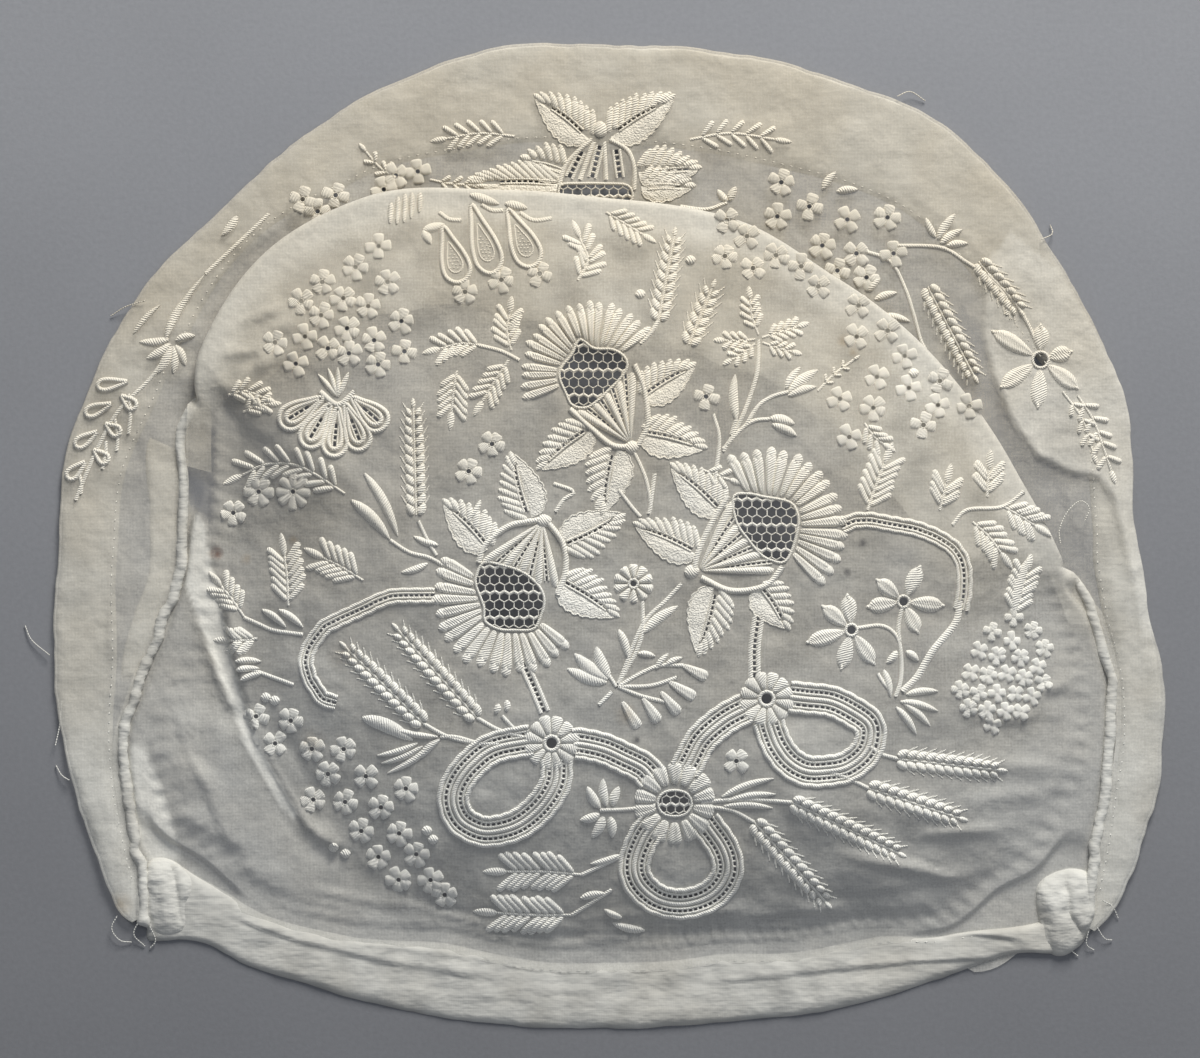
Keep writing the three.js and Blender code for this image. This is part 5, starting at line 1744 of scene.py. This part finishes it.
# %% Where the front piece's cloth lies double or single
# outside its fold at the right it lies double, and inside it single
DOUBLED_SIDE = on_cap(FRONT_FOLD + [
    1133, 591, 1140, 640, 1170, 640, 1150, 420, 1060, 270, 1010, 230, 985, 262,
])
SINGLE_SIDE = on_cap([960, 300] + FRONT_FOLD + [
    1130, 591, 1124, 640, 1104, 700, 1080, 600, 1040, 530, 990, 440, 940, 360,
])
doubled = 0.8 * share_inside(front_points[:, 0], front_points[:, 1], DOUBLED_SIDE, 0.8)
single = 0.55 * share_inside(front_points[:, 0], front_points[:, 1], SINGLE_SIDE, 0.8)
put_values(front, "thick", doubled - single)
weld(front)
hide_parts("front_piece")
front_embroidery = front_work.make("front_embroidery", THREAD)

# %% [markdown]
# ## Bands and hem
# The facing lies under the face edge, and the hem closes the nape. Both are folded strips, so
# they are closed bands with a soft swell and small puckers along their stitched edge.

# %% A folded band on the table
def folded_band(name, start, end, inner_at, outer_at, thickness, finish, pucker,
                rows=11, laps=()):
    """A closed band between two curves, its top puffed and its bottom on the table."""
    deg = np.linspace(start, end, 2 * int(end - start) + 1)
    f = np.linspace(0, 1, rows)[:, None]
    inner_radius, outer_radius = inner_at(deg), outer_at(deg)
    x, y = spot(deg[None, :], mixed(inner_radius, outer_radius, f))
    puff = 1 - (2 * f - 1) ** 8
    waves = pucker * unevenness(x, y, 5, 41) + 0.5 * pucker * np.sin(np.radians(deg * 83))[None, :] * (1 - f)
    top = np.maximum(0.12 + (thickness - 0.12) * puff * (0.86 + waves), 0.1)
    top = top + lap_height(x, y, laps) * puff
    rows, columns = x.shape
    upper = np.stack([x, y, top], -1).reshape(-1, 3)
    lower = np.stack([x, y, np.full_like(x, 0.02)], -1).reshape(-1, 3)
    number = np.arange(rows * columns).reshape(rows, columns)
    cell = cells(number)
    rim = np.r_[number[0], number[1:, -1], number[-1, -2::-1], number[-2:0:-1, 0]]
    ahead = np.roll(rim, -1)
    under = rows * columns
    wall = np.stack([rim, rim + under, ahead + under, ahead], -1)
    faces = np.vstack([cell, cell[:, ::-1] + under, wall])
    piece = mesh_piece(name, np.vstack([upper, lower]), faces, finish, False)
    weld(piece)
    return piece


# %% The facing
def facing_inner(deg):
    return np.maximum(rim_at(deg) - band_at(deg), beside_seam(deg))


facing = folded_band("front_facing_band", -31, 209, facing_inner, worn_rim, 1.0,
                     COTTON, 0.10)
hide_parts("front_facing")

# %% The hem and the seam tape
HEM_FROM, HEM_TO = 205.5, 329.0
# degrees and mm: the hem's outline where it climbs to the two seams
HEM_OUTLINE = np.array([
    (205.5, 129.5), (208, 133), (210, 137.5), (211.3, 139.5), (212.4, 136.2), (213.4, 131.9), (215.9, 127),
    (219, 124), (225, 117), (240, 105), (255, 97.5), (270, 94.8), (285, 96.5), (300, 104), (311, 111.5),
    (318, 118), (321.4, 122.5), (323.2, 127), (324.6, 131.5), (326.1, 135), (327.5, 136), (329, 134.5),
])
hem_outline = column(HEM_OUTLINE, 1, closed=False)


def hem_outer(deg):
    x, y = spot(deg, hem_outline(deg))
    return hem_outline(deg) + layered(x, y, [(0.35, 9, 93), (0.15, 3, 94)])


def hem_inner(deg):
    """It stays low where the corners are folded over it."""
    return edge_at(deg) - 0.6 + 13 * smooth(318.5, 329, deg) + 3 * (1 - smooth(206, 213, deg))


hem = folded_band("nape_hem_band", HEM_FROM, HEM_TO, hem_inner, hem_outer, HEM_THICK,
                  COTTON, 0.18, 24, HEM_LAPS)
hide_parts("nape_hem")
tape = folded_band("seam_tape_cloth", 156, 183, lambda deg: left_seam_at(deg) + SEAM_WIDTH / 2 + 0.1,
                   tape_outer_at, 1.0, MUSLIN, 0.2)
put_values(tape, "thick", np.full(len(tape.data.vertices), 0.6))
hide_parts("seam_tape_left")

# %% [markdown]
# ## Seams
# The crown is gathered into narrow seams. A seam is a lumpy rope: its outline swells and shrinks
# with each gather, and small slanted stitches go over it.

# %% Gathered seams
SEAM_STEP = 0.22  # degrees
SEAM_SIDES = 16
SEAM_TAPER = 3.5  # mm over which it ends


def gathered_seam(name, start, end, radius_at, seed):
    """A rope of small gathers along a curve, lying on the table."""
    deg = np.arange(start, end, SEAM_STEP)
    round_angle = np.linspace(0, 2 * np.pi, SEAM_SIDES, endpoint=False)
    D, A = np.meshgrid(deg, round_angle, indexing="ij")
    run = np.radians(D) * radius_at(D)
    slant = run + 0.7 * np.cos(A) + 1.4 * unevenness(run, A * 0, 7, seed)
    crinkle = 0.05 * np.abs(np.sin(slant * math.pi / 2.3)) + 0.07 * unevenness(run, A * 2, 2.2, seed + 1)
    size = 0.80 + crinkle + 0.10 * unevenness(run, A * 0, 5, seed + 2)
    lower_end = run.min() if start < 0 else run.max()
    size = size + 0.45 * np.exp(-(((run - lower_end) / 5) ** 2))
    for from_end in (run - run.min(), run.max() - run):
        size = size * np.sqrt(smooth(0, SEAM_TAPER, from_end))
    wander = 0.8 * unevenness(run, A * 0, 6, seed + 3) + 0.25 * unevenness(run, A * 0, 2.4, seed + 4)
    x, y = spot(D, radius_at(D) + wander + np.cos(A) * size * SEAM_WIDTH / 2)
    z = np.maximum(SEAM_HEIGHT * 0.44 + np.sin(A) * size * SEAM_HEIGHT / 2, 0.03)
    points = np.stack([x, y, z], -1).reshape(-1, 3)
    number = np.arange(D.size).reshape(D.shape)
    sides = cells(number, closed=True)[:, OTHER_WAY]
    first, last = number[0], number[-1]
    caps = [(first[0], first[k + 1], first[k]) for k in range(1, SEAM_SIDES - 1)]
    caps += [(last[0], last[k], last[k + 1]) for k in range(1, SEAM_SIDES - 1)]
    faces = [tuple(q) for q in sides] + caps
    return new_piece(name, points, faces, DOUBLED)


left_seam = gathered_seam("gathered_seam_left", 149, 210.5, left_seam_at, 51)
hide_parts("side_seam_left")
right_seam = gathered_seam("gathered_seam_right", -32, 9.5, right_seam_at, 61)
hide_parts("side_seam_right")

# %% [markdown]
# ## The doubled corners
# At both lower corners the cloth is folded on itself and sewn down in small thick wads.

# %% Corner patches
LEFT_PATCH = on_cap([
    147, 864, 164, 857, 182, 866, 195, 882, 189, 905, 186, 930, 166, 937, 149, 932,
    141, 902,
])
RIGHT_PATCH = on_cap([
    1037, 886, 1050, 874, 1070, 868, 1089, 873, 1095, 893, 1095, 918, 1084, 940, 1066, 955,
    1050, 953, 1042, 934, 1036, 908,
])
PATCH_RINGS = 18


def corner_patch(name, corners, thickness, seed):
    """A wad of doubled cloth with a rounded edge and a folded top; corners in mm."""
    outline = smooth_path(corners, 0.7, closed=True)[:-1]
    middle = outline.mean(0)
    rows = []
    for f in np.linspace(1, 0.04, PATCH_RINGS):
        ring = middle + (outline - middle) * f
        rise = math.sqrt(1 - f**3)
        turned = ring[:, 0] * 0.9 + ring[:, 1] * 0.3 + 1.5 * unevenness(ring[:, 0], ring[:, 1], 6, seed)
        fold = np.abs(np.sin(turned * 0.42 + seed)) ** 0.6
        rough = 0.12 * unevenness(ring[:, 0], ring[:, 1], 2.2, seed)
        top = 0.1 + (thickness - 0.1) * rise * (0.62 + 0.38 * fold + rough)
        rows.append(np.column_stack([ring, top]))
    count = len(outline)
    points = np.vstack([np.column_stack([outline, np.full(count, 0.02)]), *rows])
    number = np.arange((PATCH_RINGS + 1) * count).reshape(-1, count)
    faces = [tuple(q) for q in cells(number, closed=True)[:, OTHER_WAY]]
    faces += [tuple(number[-1]), tuple(number[0][::-1])]
    return new_piece(name, points, faces, DOUBLED)


left_patch = corner_patch("doubled_corner_left", LEFT_PATCH, 3.2, 71)
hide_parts("corner_patch_left")
right_patch = corner_patch("doubled_corner_right", RIGHT_PATCH, 3.8, 81)
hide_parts("corner_patch_right")

# %% [markdown]
# ## Sewing and loose threads
# Small running stitches hold the facing and the hem, and a few threads have worked loose.

# %% Running stitches
front_sewing = Needlework(front_height, 13)
STITCH_LONG, STITCH_GAP = 1.0, 1.3


def running_stitch(work, path):
    """A dashed line of small stitches along a path in mm."""
    run = run_along(path)
    for s in np.arange(0, run[-1] - STITCH_LONG, STITCH_LONG + STITCH_GAP):
        work.satin(*path_at((s, s + STITCH_LONG), run, path), 0.36, 0.22)


deg_line = np.linspace(-27, 205, 500)
running_stitch(front_sewing, np.stack(spot(deg_line, facing_inner(deg_line) + 0.9), 1))
facing_stitches = front_sewing.make("facing_stitches", SEWING)


def hem_height(x, _):
    """The hem's top under its stitches, the same all along."""
    return np.full(np.shape(x), HEM_THICK * 0.8)


hem_sewing = Needlework(hem_height, 17)
deg_line = np.linspace(HEM_FROM + 9, HEM_TO - 7, 300)
running_stitch(hem_sewing, np.stack(spot(deg_line, hem_inner(deg_line) + 1.8), 1))
hem_stitches = hem_sewing.make("hem_stitches", SEWING)

# %% Loose threads
# x and y of chart points in turn, then the heights in mm of the two ends
LOOSE = [
    ([25, 625, 32, 640, 50, 655], 0.3, 1.2), ([62, 700, 60, 725, 56, 745], 0.3, 1.6),
    ([56, 765, 62, 775, 70, 780], 0.3, 1.6), ([111, 316, 126, 307, 146, 301], 0.4, 2.6),
    ([897, 97, 910, 92, 925, 101], 2.4, 0.4), ([1040, 240, 1052, 234, 1050, 225], 2.6, 0.4),
    ([1059, 543, 1058, 530, 1066, 512, 1079, 501, 1088, 508, 1084, 520], 5.0, 4.0),
    ([118, 915, 112, 928, 120, 940, 132, 942], 2.0, 0.4), ([140, 920, 134, 934, 145, 946], 2.2, 0.3),
    ([150, 925, 156, 940, 150, 948], 2.2, 0.3), ([1088, 930, 1086, 944, 1094, 950], 2.2, 0.3),
    ([1096, 926, 1104, 938, 1112, 940], 2.2, 0.3), ([1076, 936, 1070, 948, 1078, 956], 2.0, 0.3),
    ([1102, 900, 1112, 906, 1118, 918], 2.6, 0.3),
]
THREAD_RADIUS = 0.14
THREAD_SIDES = 6
loose_points, loose_faces, loose_thread = [], [], []
for points, start_height, end_height in LOOSE:
    path = smooth_path(on_cap(points), 0.8)
    out = sideways(path)
    lift = np.linspace(start_height, end_height, len(path)) + THREAD_RADIUS
    for k in range(THREAD_SIDES):
        angle = k * 2 * math.pi / THREAD_SIDES
        side = path + out * math.cos(angle) * THREAD_RADIUS
        loose_points.append(np.column_stack([side, lift + math.sin(angle) * THREAD_RADIUS]))
        loose_thread.append(np.arange(len(path)) * 0.8)
    first = sum(len(p) for p in loose_points) - THREAD_SIDES * len(path)
    for k in range(THREAD_SIDES):
        for i in range(len(path) - 1):
            a, b = first + k * len(path) + i, first + ((k + 1) % THREAD_SIDES) * len(path) + i
            loose_faces.append((a, b, b + 1, a + 1))
loose_points = np.vstack(loose_points)
loose = mesh_piece("loose_threads", loose_points, loose_faces, SEWING, face_up=False)
put_values(loose, "thread", np.concatenate(loose_thread))
put_values(loose, "tone", np.full(len(loose.data.vertices), 0.5))

# %% [markdown]

# %% [markdown]
# ## Floor and light
# The cap lies on a plain grey ground. One soft light stands low beyond the face edge, so that folds
# and padded stitches show. A weak light above and a weak sky fill the shadows.

# %% Floor
floor_finish = Finish("plain_ground", roughness=0.95)
speckle = floor_finish.ramp(floor_finish.noise(1.2, 4), 0.3, 0.7, 0.96, 1.04)
cloud = floor_finish.ramp(floor_finish.noise(60, 3), 0.3, 0.7, 0.97, 1.03)
# the paper lies in less light towards the nape
CAP_REACH = 125 * MM
far_light = floor_finish.ramp(floor_finish.axis("Y"), -CAP_REACH, CAP_REACH, 0.72, 0.96)
shade = floor_finish.math("MULTIPLY", floor_finish.math("MULTIPLY", speckle, cloud), far_light)
GREY_PAPER = (0.270, 0.274, 0.287, 1)
floor_finish.colour(floor_finish.blend(1.0, GREY_PAPER, shade, "MULTIPLY"))
floor_finish.relief(floor_finish.noise(0.8, 5), 0.15, 0.2)
FLOOR_HALF = 1500.0  # mm
floor_corners = np.array([(-1, -1, 0), (1, -1, 0), (1, 1, 0), (-1, 1, 0)]) * FLOOR_HALF
new_object("ground", floor_corners, [(0, 1, 2, 3)], floor_finish.material)

# %% Lights
def soft_light(name, place_mm, size, watts, colour):
    """A square light that faces the cap."""
    data = bpy.data.lights.new(name, "AREA")
    data.size = size
    data.energy = watts
    data.color = colour
    light = bpy.data.objects.new(name, data)
    light.location = Vector(place_mm) * MM
    light.rotation_mode = "QUATERNION"
    light.rotation_quaternion = (-light.location).to_track_quat("-Z", "Y")
    bpy.context.scene.collection.objects.link(light)


bpy.context.scene.view_settings.view_transform = "Standard"
soft_light("window_light", (250, 1050, 620), size=0.45, watts=20, colour=(1.0, 0.985, 0.955))
soft_light("room_light", (700, 300, 1200), size=1.4, watts=3, colour=(0.93, 0.96, 1.0))
SKY, SKY_STRENGTH = (0.82, 0.88, 1.0, 1), 0.27
world = bpy.data.worlds.new("sky")
bpy.context.scene.world = world
world.use_nodes = True
background = world.node_tree.nodes["Background"]
background.inputs["Color"].default_value = SKY
background.inputs["Strength"].default_value = SKY_STRENGTH

# %% Bring the scene up to date
bpy.context.view_layer.update()
